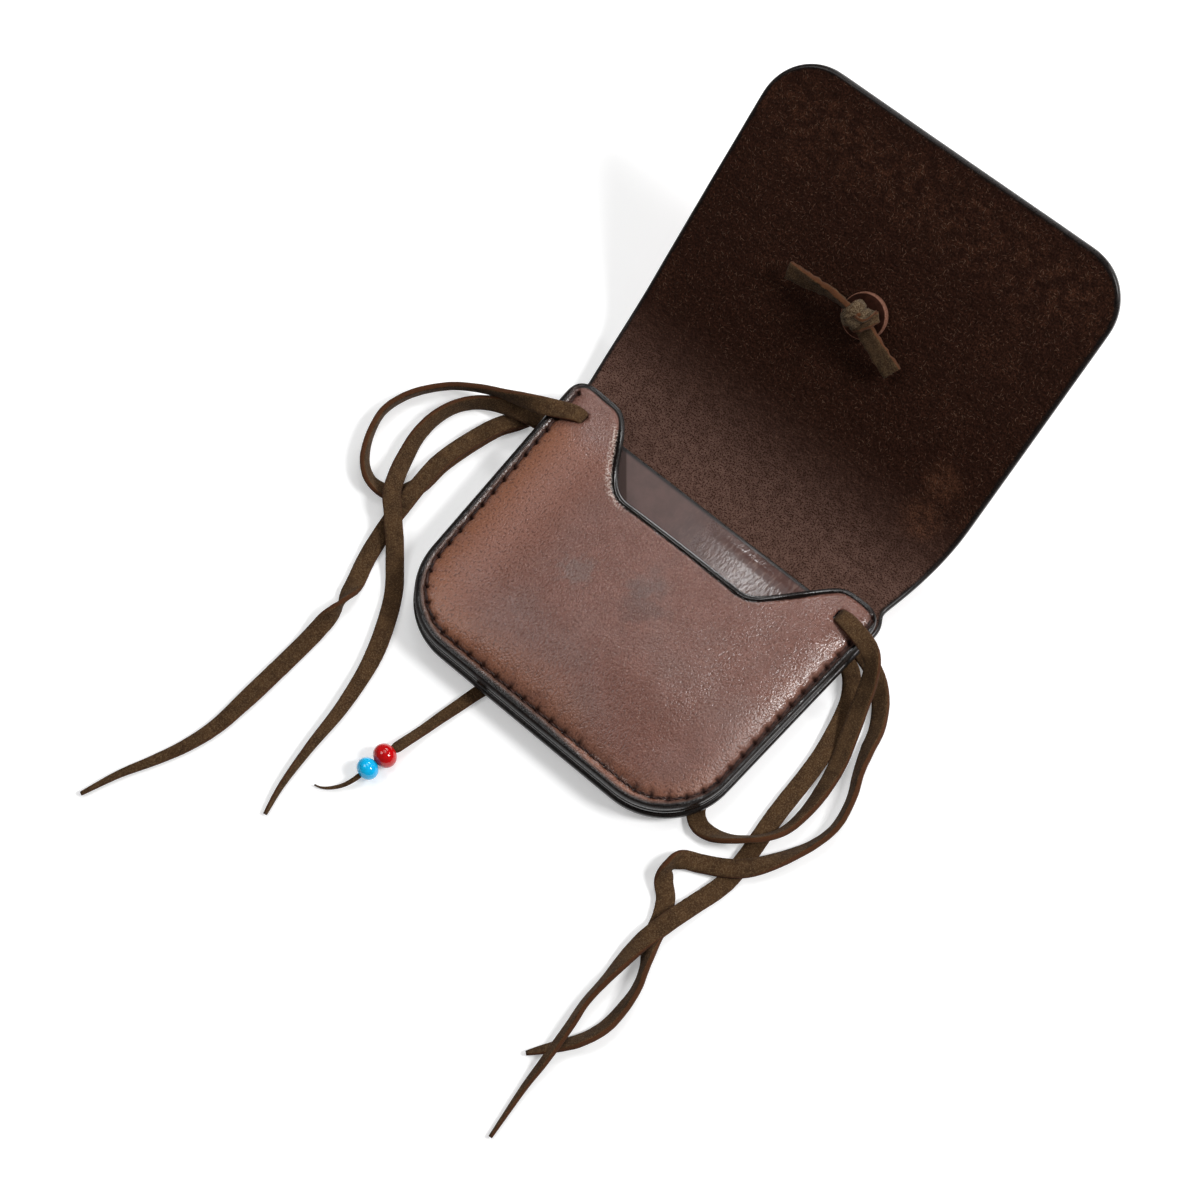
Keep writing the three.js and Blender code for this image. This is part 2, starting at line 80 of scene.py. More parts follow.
def ease(value):
    share = np.clip(value, 0, 1)
    return share * share * (3 - 2 * share)


def dent(depth, gap, half):
    return depth * np.exp(-(gap / half) ** 2)


def unit(rows):
    return rows / np.linalg.norm(rows, axis=-1, keepdims=True)


def runAlong(points):
    return np.r_[0, np.cumsum(np.linalg.norm(np.diff(points, axis=0), axis=1))]


def sides(y):
    share = np.clip(-np.asarray(y) / pouch["height"], 0, 1)
    return pouch["mouthHalfWidth"] + (pouch["bottomHalfWidth"] - pouch["mouthHalfWidth"]) * share


def rimTurnUp(x, y):
    fromSide = ease((sides(y) - np.abs(x)) / pouch["rimBand"])
    fromBottom = ease((y + pouch["height"]) / pouch["rimBand"])
    return pouch["rimLift"] * (1 - fromSide * fromBottom)


# From 0 in the middle to 1 at one side
def towards(side, x):
    return ease(side * x / pouch["seamOutRun"])


# The seam lies nearer to the edge at the sides than at the bottom
def seamInset(x):
    outward = pouch["seamOutRight"] * towards(1, x) + pouch["seamOutLeft"] * towards(-1, x)
    return pouch["stitchInset"] - outward


def belly(x, y):
    across = np.minimum(np.abs(x) / (sides(y) - seamInset(x)), 1) ** 2
    up = np.clip((y + pouch["height"] - pouch["stitchInset"]) / pouch["bellyRun"], 0, 1)
    ears = 1 - pouch["earFlatten"] * ease((y + pouch["earDrop"] + pouch["scoopDepth"]) / pouch["scoopDepth"])
    full = (1 - across) * (1 + pouch["bellyFill"] * across) * (1 - (1 - up) ** 2)
    return pouch["pocketDepth"] * full * ears


def ripple(x, y, cut, kind="ripple"):
    size, seed = cut[kind + "Size"], cut[kind + "Seed"]
    return cut[kind] * np.array([noise.noise(Vector((a / size, b / size, seed))) for a, b in zip(x, y)])


def frontUnderside(x, y):
    return rimTurnUp(x, y) + frontUnder + belly(x, y)


def flapPoint(x, reach, height):
    angle = np.clip(reach / flapCut["neck"], 0, 1) * riseAngle
    straight = np.maximum(0, reach - flapCut["neck"])
    lift = rimTurnUp(x, 0) * (1 - ease(reach / flapCut["neck"])) + height
    y = neckRadius * np.sin(angle) + straight * np.cos(angle) - lift * np.sin(angle)
    z = neckRadius * (1 - np.cos(angle)) + straight * np.sin(angle) + lift * np.cos(angle)
    return x, y + pouch["foldGap"] / 2 * ease(reach / pouch["foldGapRun"]), z


# Outlines
def evenly(points, spacing, closed=True):
    if closed:
        points = np.vstack([points, points[:1]])
    run = runAlong(points)
    count = max(2, round(run[-1] / spacing))
    at = np.linspace(0, run[-1], count, endpoint=not closed)
    return np.column_stack([np.interp(at, run, points[:, k]) for k in range(points.shape[1])])


def soften(points, passes):
    for _ in range(passes):
        points = (np.roll(points, 1, 0) + 2 * points + np.roll(points, -1, 0)) / 4
    return points


def bothSides(rightHalf):
    return np.vstack([rightHalf, (rightHalf * (-1, 1))[::-1]])


def sheetOutline(rightHalf):
    return soften(evenly(bothSides(rightHalf)[::-1], outlineCut["sheetStep"]), outlineCut["sheetPasses"])


def pocketCorner(proud):
    turn = np.linspace(0, math.pi / 2, 40)
    radius = pouch["cornerRadius"] + proud
    y = -cornerStart - radius * np.sin(turn)
    return np.column_stack([sides(y) + proud - radius * (1 - np.cos(turn)), y])


def earCorner():
    turn = np.linspace(math.pi / 2, 0, 24)
    y = -pouch["earDrop"] - pouch["earRadius"] * (1 - np.sin(turn))
    return np.column_stack([sides(y) - pouch["earRadius"] * (1 - np.cos(turn)), y])


def frontOutline():
    x = np.linspace(-neckHalfWidth, neckHalfWidth, 320)
    off = np.abs(x - pouch["scoopShift"])
    drop = ease((pouch["scoopFloor"] + pouch["shoulder"] - off) / pouch["shoulder"])
    mouth = np.column_stack([x, -pouch["earDrop"] - pouch["scoopDepth"] * drop])
    side = np.vstack([earCorner(), pocketCorner(0)])
    whole = np.vstack([mouth, bothSides(side)])[::-1]
    tilt = pouch["earTilt"] * ease((whole[:, 1] + pouch["earTiltFrom"]) / pouch["earTiltRun"])
    whole[:, 1] -= tilt * whole[:, 0] / pouch["mouthHalfWidth"]
    return soften(evenly(whole, outlineCut["frontStep"]), outlineCut["frontPasses"])


def liningOutline():
    top = -pouch["liningDrop"]
    return sheetOutline(np.vstack([[(0, top), (sides(top), top)], pocketCorner(0)]))


def backOutline():
    turn = np.linspace(0, math.pi / 2, 30)
    tip = flapCut["length"] - flapCut["cornerRadius"]
    corner = np.column_stack([flapCut["halfWidth"] - flapCut["cornerRadius"] * (1 - np.sin(turn)),
                              tip + flapCut["cornerRadius"] * np.cos(turn)])
    reach = np.linspace(flapCut["flare"], 0, 40)
    flare = np.sin(reach / flapCut["flare"] * math.pi / 2)
    root = flapCut["rootHalfWidth"]
    waist = np.column_stack([root + (flapCut["halfWidth"] - root) * flare, reach])
    earY = -pouch["earRadius"] * (1 - np.sin(np.linspace(math.pi / 2, 0, 16)))
    earX = sides(earY) + pouch["backProud"]
    ear = np.column_stack([earX - (earX[0] - root) * (1 + earY / pouch["earRadius"]) ** 2, earY])
    tipMiddle = [(0, flapCut["length"])]
    return sheetOutline(np.vstack([tipMiddle, corner, waist, ear, pocketCorner(pouch["backProud"])]))


def ovalHole(x, y, across, along):
    turn = np.linspace(0, 2 * math.pi, 28, endpoint=False)
    straight = (along - across) / 2
    return np.column_stack([x + across / 2 * np.cos(turn),
                            y + across / 2 * np.sin(turn) + straight * np.sign(np.sin(turn))])


def tieSlots(across, along, drop=pouch["tieSlotDrop"]):
    return [ovalHole(side * pouch["tieSlotX"], -drop, across, along) for side in (-1, 1)]


def inside(points, loop):
    x, y = points[:, 0], points[:, 1]
    hits = np.zeros(len(points), bool)
    for (x0, y0), (x1, y1) in zip(loop, np.roll(loop, -1, 0)):
        if y0 != y1:
            hits ^= ((y0 > y) != (y1 > y)) & (x < (x1 - x0) * (y - y0) / (y1 - y0) + x0)
    return hits


def nearest(points, loop):
    tree = kdtree.KDTree(len(loop))
    for index, (x, y) in enumerate(loop):
        tree.insert((x, y, 0), index)
    tree.balance()
    found = [tree.find((x, y, 0)) for x, y in points]
    return np.array([hit[2] for hit in found]), np.array([hit[1] for hit in found], int)


# A leather panel: rings that follow the outline over its rounded edge, and a fine net inside them
# Its finishes are 0 on the upper side, 1 on the lower side and 2 on the burnished edge
panelNet = {"burnishedReach": 1.3, "rowShare": 0.87, "edgeClear": 0.55, "holeClear": 0.45, "lowerStep": 1.6}


def leatherPanel(name, outline, rings, place, spacing, ringReach, sideMark, holes=(), edgeShare=None):
    along = unit(np.roll(outline, -2, 0) - np.roll(outline, 2, 0))
    inward = np.column_stack([-along[:, 1], along[:, 0]])
    count = len(outline)
    flat, heights, edges, marks, faces, finish = [], [], [], [], [], []

    def addPoints(points, height, edge, mark):
        start = sum(len(part) for part in flat)
        flat.append(points)
        heights.append(np.full(len(points), height))
        edges.append(edge)
        marks.append(mark)
        return np.arange(start, start + len(points))

    ringIds = []
    for inset, height in rings:
        reach = inset * ringReach
        ringIds.append(addPoints(outline + inward * reach[:, None], height, reach, sideMark))
    for (inset, height), inner, outer in zip(rings, ringIds, ringIds[1:]):
        for i in range(count):
            j = (i + 1) % count
            faces.append((inner[i], outer[i], outer[j], inner[j]))
        finish += [2 if inset < panelNet["burnishedReach"] else 1 if height < 0 else 0] * count

    def addNet(ring, height, step, upwards):
        loop = np.concatenate(flat)[ring]
        low, high = loop.min(0), loop.max(0)
        columns = np.arange(low[0], high[0], step)
        rows = np.arange(low[1], high[1], step * panelNet["rowShare"])
        net = np.array([(x + step / 2 * (k % 2), y) for k, y in enumerate(rows) for x in columns])
        net = net[inside(net, loop)]
        net = net[nearest(net, loop)[0] > panelNet["edgeClear"] * step]
        for hole in holes:
            net = net[nearest(net, hole)[0] > panelNet["holeClear"] * step]
        bounds, start = [list(range(count))], count + len(net)
        for hole in holes:
            bounds.append(list(range(start, start + len(hole))))
            start += len(hole)
        inner = np.vstack([net, *holes])
        points, _, triangles, origins, _, _ = delaunay_2d_cdt(
            [Vector(p) for p in np.vstack([loop, inner])], [], bounds, 1, 1e-6)
        edge, where = nearest(inner, outline)
        ids = np.concatenate([ring, addPoints(inner, height, edge, sideMark[where])])
        centres = np.array([np.mean([points[k] for k in tri], axis=0) for tri in triangles])
        keep = np.ones(len(triangles), bool)
        for hole in holes:
            keep &= ~inside(centres, hole)
        for tri, kept in zip(triangles, keep):
            if kept:
                corner = [ids[origins[k][0]] for k in tri]
                faces.append(tuple(corner if upwards else corner[::-1]))
                finish.append(0 if upwards else 1)
        return [ids[bound] for bound in bounds[1:]]

    upperHoles = addNet(ringIds[0], rings[0][1], spacing, True)
    lowerHoles = addNet(ringIds[-1], rings[-1][1], spacing * panelNet["lowerStep"], False)
    for upper, lower in zip(upperHoles, lowerHoles):
        for i in range(len(upper)):
            j = (i + 1) % len(upper)
            faces.append((upper[i], upper[j], lower[j], lower[i]))
            finish.append(0)

    flat = np.vstack(flat)
    edges, marks = np.concatenate(edges), np.concatenate(marks)
    corners, seam = place(flat[:, 0], flat[:, 1], np.concatenate(heights), edges, marks)
    piece = meshPiece(name, corners, faces, finish)
    setPoints(piece, "pattern", np.column_stack([flat, np.zeros(len(flat))]))
    setPoints(piece, "edge", edges * edgeShare(flat[:, 0], marks) if edgeShare else edges)
    setPoints(piece, "rim", marks)
    setPoints(piece, "seam", seam)
    return piece


def meshPiece(name, corners, faces, finish=None):
    mesh = bpy.data.meshes.new(name)
    mesh.from_pydata((np.asarray(corners) + (0, foldY, 0)) * mm, [], [tuple(map(int, f)) for f in faces])
    if finish is not None:
        mesh.polygons.foreach_set("material_index", finish)
    mesh.polygons.foreach_set("use_smooth", [True] * len(mesh.polygons))
    mesh.validate()
    piece = bpy.data.objects.new(name, mesh)
    bpy.context.scene.collection.objects.link(piece)
    return piece


def setPoints(piece, name, values):
    values = np.asarray(values, float)
    kind, key = ("FLOAT_VECTOR", "vector") if values.ndim == 2 else ("FLOAT", "value")
    piece.data.attributes.new(name, kind, "POINT").data.foreach_set(key, values.ravel())


def edgeRings(insets, thickness, topRound, lowRound):
    rings = [(inset, thickness / 2) for inset in insets]
    for turn in np.linspace(0, math.pi / 2, 6):
        rings.append((topRound * (1 - math.sin(turn)), thickness / 2 - topRound * (1 - math.cos(turn))))
    for turn in np.linspace(math.pi / 2, 0, 6):
        rings.append((lowRound * (1 - math.sin(turn)), -thickness / 2 + lowRound * (1 - math.cos(turn))))
    return rings + [(inset, -thickness / 2) for inset in reversed(insets)]


# Seam line: the places of the holes, from the right ear round the bottom to the left ear
seamCut = {"groove": 0.45, "grooveHalf": 0.68, "grooveShade": 0.75, "shadeRun": 0.4,
           "hole": 0.8, "holeRadius": 0.5, "holeShift": 0.6, "holeSlant": 0.5,
           "dip": 0.4, "dipRun": 4.2, "dipEaseRight": 0.7, "pull": 0.3, "pullRadius": 1.9,
           "markFrom": 3, "markRun": 4, "markReach": 5.5, "markPasses": 20}


def seamLine():
    top = -pouch["stitchTop"]
    corner = pocketCorner(0)
    along = unit(np.gradient(corner, axis=0))
    normal = np.column_stack([along[:, 1], -along[:, 0]])
    right = np.vstack([[(sides(top) - pouch["stitchInset"], top)], corner + normal * pouch["stitchInset"]])
    line = bothSides(right)
    line[:, 0] += np.sign(line[:, 0]) * (pouch["stitchInset"] - seamInset(line[:, 0]))
    return evenly(line, outlineCut["seamStep"], closed=False)


stitchLine = seamLine()
stitchSpan = runAlong(stitchLine)[-1]
stitchCount = round(stitchSpan / pouch["stitchPitch"])
stitchHoles = evenly(stitchLine, stitchSpan / (stitchCount + 1), closed=False)
holeWays = unit(np.gradient(stitchHoles, axis=0))
holeInward = np.column_stack([holeWays[:, 1], -holeWays[:, 0]])
holeTails = stitchHoles + seamCut["holeShift"] * (holeInward - holeWays * seamCut["holeSlant"])


# Gaps from the marked points to a row of places, endless for the other points
def gapTo(row, x, y, marked):
    gap = np.full(len(x), np.inf)
    gap[marked] = nearest(np.column_stack([x, y])[marked], row)[0]
    return gap


def seamDepth(x, y, marked):
    hole = np.minimum(gapTo(stitchHoles, x, y, marked), gapTo(holeTails, x, y, marked))
    groove = dent(seamCut["groove"], gapTo(stitchLine, x, y, marked), seamCut["grooveHalf"])
    return groove + dent(seamCut["hole"], hole, seamCut["holeRadius"])


# The leather is drawn down around each hole
def seamPull(x, y, marked):
    return dent(seamCut["pull"], gapTo(stitchHoles, x, y, marked), seamCut["pullRadius"])


# Painted shade: darker in the stitch groove and darkest in the holes
def seamShade(depth):
    groove, shade = seamCut["groove"], seamCut["grooveShade"]
    return shade * np.minimum(1, depth / groove) + (1 - shade) * ease((depth - groove) / seamCut["shadeRun"])


def seamMark(outline):
    below = ease((-outline[:, 1] - seamCut["markFrom"]) / seamCut["markRun"])
    return soften(below * (nearest(outline, stitchLine)[0] < seamCut["markReach"]), seamCut["markPasses"])


# Front panel: a rounded lip outside the seam, and a creased bead along the mouth
frontCut = {
    "ringInsets": [7.2, 6.4, 5.6, 5.1, 4.75, 4.5, 4.25, 4, 3.75, 3.5, 3.2, 2.8, 2.3, 1.8, 1.5],
    "mouthRings": 0.62, "topRound": 1.25, "lowRound": 0.9, "spacing": 1.7,
    "slotAcross": 2.6, "slotLength": 4.8,
    "ripple": 0.18, "rippleSize": 17, "rippleSeed": 1.5, "rippleFrom": 3, "rippleRun": 9,
    "seamFrom": 0.7, "seamTo": 9, "seamRim": 0.1, "lip": 0.35, "lipFall": 2.7, "lipRise": 3.3,
}
mouthCut = {"bead": 0.9, "beadFrom": 0.01, "bevel": 0.33, "crease": 0.1, "creaseAt": 1.2, "creaseHalf": 0.4,
            "fall": 0.75, "fallFrom": 3.3, "fallRun": 2.3}


def placeFront(x, y, height, edge, rim):
    cut, mouth = frontCut, mouthCut
    top = height > 0
    middle = pouch["frontThickness"] / 2
    waves = ripple(x, y, cut) * ease((edge - cut["rippleFrom"]) / cut["rippleRun"])
    nearSeam = top & (edge > cut["seamFrom"]) & (edge < cut["seamTo"]) & (rim > cut["seamRim"])
    depth = seamDepth(x, y, nearSeam)
    inset = seamInset(x)
    lip = cut["lip"] * rim * ease((1 - edge / inset) * cut["lipFall"]) * ease(edge / inset * cut["lipRise"])
    dip = seamCut["dip"] * rim * ease((inset + seamCut["dipRun"] - edge) / seamCut["dipRun"])
    dip = dip * (1 - seamCut["dipEaseRight"] * towards(1, x))
    onBead = top & (edge < mouth["bead"]) & (edge > mouth["beadFrom"])
    bead = np.where(onBead, middle - height - mouth["bevel"] * (mouth["bead"] - edge), 0)
    crease = dent(mouth["crease"], edge - mouth["creaseAt"], mouth["creaseHalf"])
    fall = mouth["fall"] * ease((mouth["fallFrom"] - edge) / mouth["fallRun"])
    shaped = np.where(top, lip - dip + (1 - rim) * (bead - crease - fall), 0)
    z = frontUnderside(x, y) + middle + height + waves - depth - seamPull(x, y, nearSeam) + shaped
    return np.column_stack([x, y, z]), seamShade(depth)


def buildFront():
    cut = frontCut
    outline = frontOutline()
    mark = seamMark(outline)
    rings = edgeRings(cut["ringInsets"], pouch["frontThickness"], cut["topRound"], cut["lowRound"])
    share = seamInset(outline[:, 0]) / pouch["stitchInset"]
    reach = cut["mouthRings"] + (share - cut["mouthRings"]) * mark
    return leatherPanel("front_leather", outline, rings, placeFront, cut["spacing"], reach, mark,
                        tieSlots(cut["slotAcross"], cut["slotLength"]),
                        lambda x, marks: 1 + marks * (pouch["stitchInset"] / seamInset(x) - 1))


# Lining behind the mouth, bulging a little at its right half
liningCut = {
    "ringInsets": [0.75], "edgeRound": 0.6, "spacing": 2.4, "slotLength": 5.9, "slotDrop": 12.1,
    "bulge": 1.3, "bulgeX": 19, "bulgeHalf": 24, "bulgeRun": 6,
    "ripple": 0.05, "rippleSize": 14, "rippleSeed": 4.5, "rippleRun": 8,
}


def placeLining(x, y, height, edge, rim):
    cut = liningCut
    bulge = dent(cut["bulge"], x - cut["bulgeX"], cut["bulgeHalf"]) * ease(edge / cut["bulgeRun"])
    waves = ripple(x, y, cut) * ease(edge / cut["rippleRun"])
    z = rimTurnUp(x, y) + liningUnder + pouch["liningThickness"] / 2 + height + bulge + waves
    return np.column_stack([x, y, z]), np.zeros(len(x))


def buildLining():
    cut = liningCut
    outline = liningOutline()
    rings = edgeRings(cut["ringInsets"], pouch["liningThickness"], cut["edgeRound"], cut["edgeRound"])
    whole = np.ones(len(outline))
    slots = tieSlots(pouch["tieSlotAcross"], cut["slotLength"], cut["slotDrop"])
    return leatherPanel("lining_leather", outline, rings, placeLining, cut["spacing"], whole, whole * 0,
                        slots)


# Back and flap: one hide, flat under the pocket and curving up past the fold
backCut = {
    "ringInsets": [4.8, 4.4, 4, 3.6, 3.1, 2.4, 1.7], "edgeRound": 1.05, "spacing": 2.0,
    "seamFrom": 1.5, "seamTo": 8, "seamBelow": 3, "markBelow": 4,
    "sag": 0.5, "sagSize": 45, "sagSeed": 7.5, "sagFrom": 25, "sagRun": 40,
    "ripple": 0.12, "rippleSize": 12, "rippleSeed": 3.5, "rippleRun": 20,
    "slitAt": (-16.4, -87.6), "slitAcross": 6.4, "slitShare": 0.5,
}


def placeBack(x, y, height, edge, rim):
    cut = backCut
    level = height + pouch["backThickness"] / 2
    under = height < 0
    onSeam = under & (edge > cut["seamFrom"]) & (edge < cut["seamTo"]) & (y < -cut["seamBelow"])
    depth = seamDepth(x, y, onSeam)
    sag = ripple(x, y, cut, "sag") * ease((y - cut["sagFrom"]) / cut["sagRun"]) + ripple(x, y, cut)
    back = np.column_stack([x, y, rimTurnUp(x, y) + level + np.where(under, depth, 0)])
    flap = np.column_stack(flapPoint(x, np.maximum(y, 0), level + sag * ease(y / cut["rippleRun"])))
    return np.where((y > 0)[:, None], flap, back), seamShade(depth)


def buildBack():
    cut = backCut
    outline = backOutline()
    mark = soften((outline[:, 1] < -cut["markBelow"]).astype(float), seamCut["markPasses"])
    rings = edgeRings(cut["ringInsets"], pouch["backThickness"], cut["edgeRound"], cut["edgeRound"])
    knotHole = ovalHole(0, flapCut["knotReach"], 2 * flapCut["knotHole"], 2 * flapCut["knotHole"])
    thongSlit = ovalHole(0, 0, cut["slitAcross"], cut["slitAcross"]) * (1, cut["slitShare"]) + cut["slitAt"]
    slots = tieSlots(pouch["tieSlotAcross"], pouch["tieSlotLength"])
    return leatherPanel("back_and_flap", outline, rings, placeBack, cut["spacing"], np.ones(len(outline)),
                        mark, [*slots, knotHole, thongSlit])


# Tubes and ribbons along a smooth line through listed rows
def smoothLine(rows, step):
    rows = np.asarray(rows, float)
    ends = np.vstack([2 * rows[0] - rows[1], rows, 2 * rows[-1] - rows[-2]])
    pieces = []
    for a, b, c, d in zip(ends, ends[1:], ends[2:], ends[3:]):
        knots = [0]
        for first, second in ((a, b), (b, c), (c, d)):
            knots.append(knots[-1] + max(1e-3, np.linalg.norm((second - first)[:3])) ** 0.5)
        k0, k1, k2, k3 = knots
        count = max(2, math.ceil(np.linalg.norm((c - b)[:3]) / step))
        t = np.linspace(k1, k2, count, endpoint=False)[:, None]

        def between(start, end, first, second):
            return (end - t) / (end - start) * first + (t - start) / (end - start) * second

        ab, bc, cd = between(k0, k1, a, b), between(k1, k2, b, c), between(k2, k3, c, d)
        pieces.append(between(k1, k2, between(k0, k2, ab, bc), between(k1, k3, bc, cd)))
    return np.vstack([*pieces, rows[-1:]])


# The way ahead at each point, and a way across that stays level where it can
def lineFrames(points, firstAcross):
    across, frames = np.asarray(firstAcross, float), []
    for tangent in unit(np.gradient(points, axis=0)):
        level = np.cross(tangent, (0, 0, 1))
        carried = unit(across - tangent * across.dot(tangent))
        sign = 1 if carried.dot(level) >= 0 else -1
        across = unit(level * sign * np.linalg.norm(level) + carried * (1 - level.dot(level)))
        frames.append((tangent, across))
    return frames


def ringFaces(ringCount, count):
    faces = []
    for i in range(ringCount - 1):
        a, b = i * count, (i + 1) * count
        faces += [(b + k, b + (k + 1) % count, a + (k + 1) % count, a + k) for k in range(count)]
    last = (ringCount - 1) * count
    return faces + [tuple(range(count)), tuple(reversed(range(last, last + count)))]


laceCut = {
    "width": 5.7, "thickness": 1.7, "thinLeast": 0.45, "step": 1.1, "floorClear": 0.08, "rollRun": 20,
    "facePoints": 7, "faceHalf": 0.45, "edgeHalf": 0.28, "underShift": 20,
    "curl": 0.35, "curlRun": 31, "curlMiddle": 0.4, "rough": 0.12, "roughRun": 2.3,
    "gather": 0.62, "gatherRun": 11, "taperPower": 0.85,
}


# Shares of the width and of the thickness, and 1 on the cut edges
def laceSection():
    face = np.linspace(-laceCut["faceHalf"], laceCut["faceHalf"], laceCut["facePoints"])
    top = [(s, 0.5, 0) for s in face]
    low = [(s, -0.5, 0) for s in reversed(face)]
    edge = laceCut["edgeHalf"]
    return np.array([*top, (0.5, edge, 1), (0.5, -edge, 1), *low, (-0.5, -edge, 1), (-0.5, edge, 1)])


# A flat lace through ring centres, with the way ahead and the way across at each
def laceMesh(name, points, tangents, acrosses, widths, thickness, seed, curl=laceCut["curl"], dome=0):
    cut, section = laceCut, laceSection()
    corners, pattern, cutMarks = [], [], []
    for point, tangent, across, width, along in zip(points, tangents, acrosses, widths, runAlong(points)):
        normal = np.cross(across, tangent)
        share = width / cut["width"]
        thin = thickness * min(1, cut["thinLeast"] + (1 - cut["thinLeast"]) * share)
        rough = cut["rough"] * min(1, share)
        wave = 2 * curl * share * noise.noise(Vector((along / cut["curlRun"], 0, seed + 5)))
        for s, h, cutMark in section:
            wander = rough * noise.noise(Vector((along / cut["roughRun"], s * 2, seed)))
            cup = wave * (4 * s * s - cut["curlMiddle"]) + dome * 4 * s * s
            corners.append(point + across * (s * width + math.copysign(wander, s))
                           + normal * (h * thin + cup + wander * 0.5))
            pattern.append((s * width + cut["underShift"] * (h < 0), along, seed))
            cutMarks.append(cutMark)
    corners = np.array(corners)
    corners[:, 2] = np.maximum(corners[:, 2], cut["floorClear"])
    piece = meshPiece(name, corners, ringFaces(len(points), len(section)))
    setPoints(piece, "pattern", pattern)
    setPoints(piece, "cut", cutMarks)
    return piece


# rows: x, y, z and roll in degrees, where roll leans the upper face to the right of the way ahead
def ribbon(name, rows, widthAt, firstAcross, seed):
    line = smoothLine(rows, laceCut["step"])
    points, rolls = line[:, :3].copy(), np.radians(line[:, 3])
    thickness = laceCut["thickness"]
    run = runAlong(points)
    widths = widthAt(run, run[-1])
    stand = widths / 2 * np.abs(np.sin(rolls)) - thickness / 2 * (1 - np.abs(np.cos(rolls)))
    points[:, 2] += np.maximum(0, stand) * ease(run / laceCut["rollRun"])
    frames = lineFrames(points, firstAcross)
    tangents = [tangent for tangent, _ in frames]
    acrosses = [across * math.cos(roll) + np.cross(tangent, across) * math.sin(roll)
                for (tangent, across), roll in zip(frames, rolls)]
    piece = laceMesh(name, points, tangents, acrosses, widths, thickness, seed)
    return piece, (points + (0, foldY, 0)) * mm, run[-1] * mm


# A lace gathered where it leaves its slot and tapered to its tip
def taperedLace(taper, tip):
    def widthAt(run, total):
        gathered = laceCut["gather"] + (1 - laceCut["gather"]) * ease(run / laceCut["gatherRun"])
        left = ((total - run) / taper) ** laceCut["taperPower"]
        return laceCut["width"] * gathered * np.clip(tip + (1 - tip) * left, tip, 1)
    return widthAt


def tube(line, radius, sideCount):
    turn = np.linspace(0, 2 * math.pi, sideCount, endpoint=False)[:, None]
    corners = []
    for (tangent, across), point in zip(lineFrames(line, (0.3, 0.8, 0.1)), line):
        normal = np.cross(across, tangent)
        corners.append(point + radius * (across * np.cos(turn) + normal * np.sin(turn)))
    return np.vstack(corners), ringFaces(len(line), sideCount)


# Seam stitches, two plies each, on the front and on the outer back
stitch = {"ply": 0.29, "lay": 0.24, "turns": 1.5, "slant": -0.4, "jitter": 0.15, "jitterStep": 1.7,
          "rise": 0.3, "dive": 1.1, "archPower": 5, "sides": 6, "steps": 9,
          "grooveShare": 0.8, "pullShare": 0.6}


def stitchRun(surface, outward, seed):
    plies = []
    share = np.linspace(0, 1, stitch["steps"])
    arch = 1 - np.abs(2 * share - 1) ** stitch["archPower"]
    for number, (start, end) in enumerate(zip(stitchHoles, stitchHoles[1:])):
        along = unit(end - start)
        off = np.array([-along[1], along[0]])
        jitter = stitch["jitter"] * noise.noise(Vector((number * stitch["jitterStep"], seed, 0)))
        aside = (0.5 - share) * 2 * stitch["slant"] + jitter
        flat = start + np.outer(share, end - start) + np.outer(aside, off)
        z = surface(flat[:, 0], flat[:, 1]) + outward * (stitch["rise"] * arch - stitch["dive"] * (1 - arch))
        turn = 2 * math.pi * stitch["turns"] * share + number
        for ply in (0, math.pi):
            swing, lift = stitch["lay"] * np.cos(turn + ply), stitch["lay"] * np.sin(turn + ply)
            line = np.column_stack([flat + np.outer(swing, off), z + lift])
            plies.append(tube(line, stitch["ply"], stitch["sides"]))
    return plies


def buildStitches():
    groove = seamCut["groove"] * stitch["grooveShare"]
    sunk = pouch["frontThickness"] - groove - seamCut["dip"] - seamCut["pull"] * stitch["pullShare"]
    plies = stitchRun(lambda x, y: frontUnderside(x, y) + sunk, 1, 1)
    plies += stitchRun(lambda x, y: rimTurnUp(x, y) + groove, -1, 2)
    faces, start = [], 0
    for points, quads in plies:
        faces += [tuple(start + k for k in quad) for quad in quads]
        start += len(points)
    return meshPiece("seam_stitches", np.vstack([points for points, _ in plies]), faces)


# Finishes: nodes go into the material that newFinish opened last
bench = {}


def newFinish(name):
    material = bpy.data.materials.new(name)
    material.use_nodes = True
    bench["tree"] = material.node_tree
    return material


def feed(node, inputs):
    for key, value in inputs.items():
        socket = node.inputs[key]
        if isinstance(value, bpy.types.NodeSocket):
            node.id_data.links.new(value, socket)
        else:
            socket.default_value = (*value, 1) if socket.type == "RGBA" else value


def finished(material, inputs):
    feed(material.node_tree.nodes["Principled BSDF"], inputs)
    return material


def addNode(kind, inputs=None, **props):
    node = bench["tree"].nodes.new("ShaderNode" + kind)
    for key, value in props.items():
        setattr(node, key, value)
    feed(node, inputs or {})
    return node


def read(name, output="Fac"):
    return addNode("Attribute", attribute_name=name).outputs[output]


def grain(vector, scale, detail=3.0, rough=0.55, stretch=None):
    if stretch:
        vector = addNode("Mapping", {"Vector": vector, "Scale": stretch}).outputs[0]
    inputs = {"Vector": vector, "Scale": scale, "Detail": detail, "Roughness": rough}
    return addNode("TexNoise", inputs).outputs[0]


def remap(value, low, high, toLow=0.0, toHigh=1.0):
    inputs = {"Value": value, "From Min": low, "From Max": high, "To Min": toLow, "To Max": toHigh}
    return addNode("MapRange", inputs, interpolation_type="SMOOTHSTEP").outputs[0]


def maths(operation, first, second=0.5):
    return addNode("Math", {0: first, 1: second}, operation=operation).outputs[0]


def times(first, *others):
    for other in others:
        first = maths("MULTIPLY", first, other)
    return first


def plus(first, second):
    return maths("ADD", first, second)


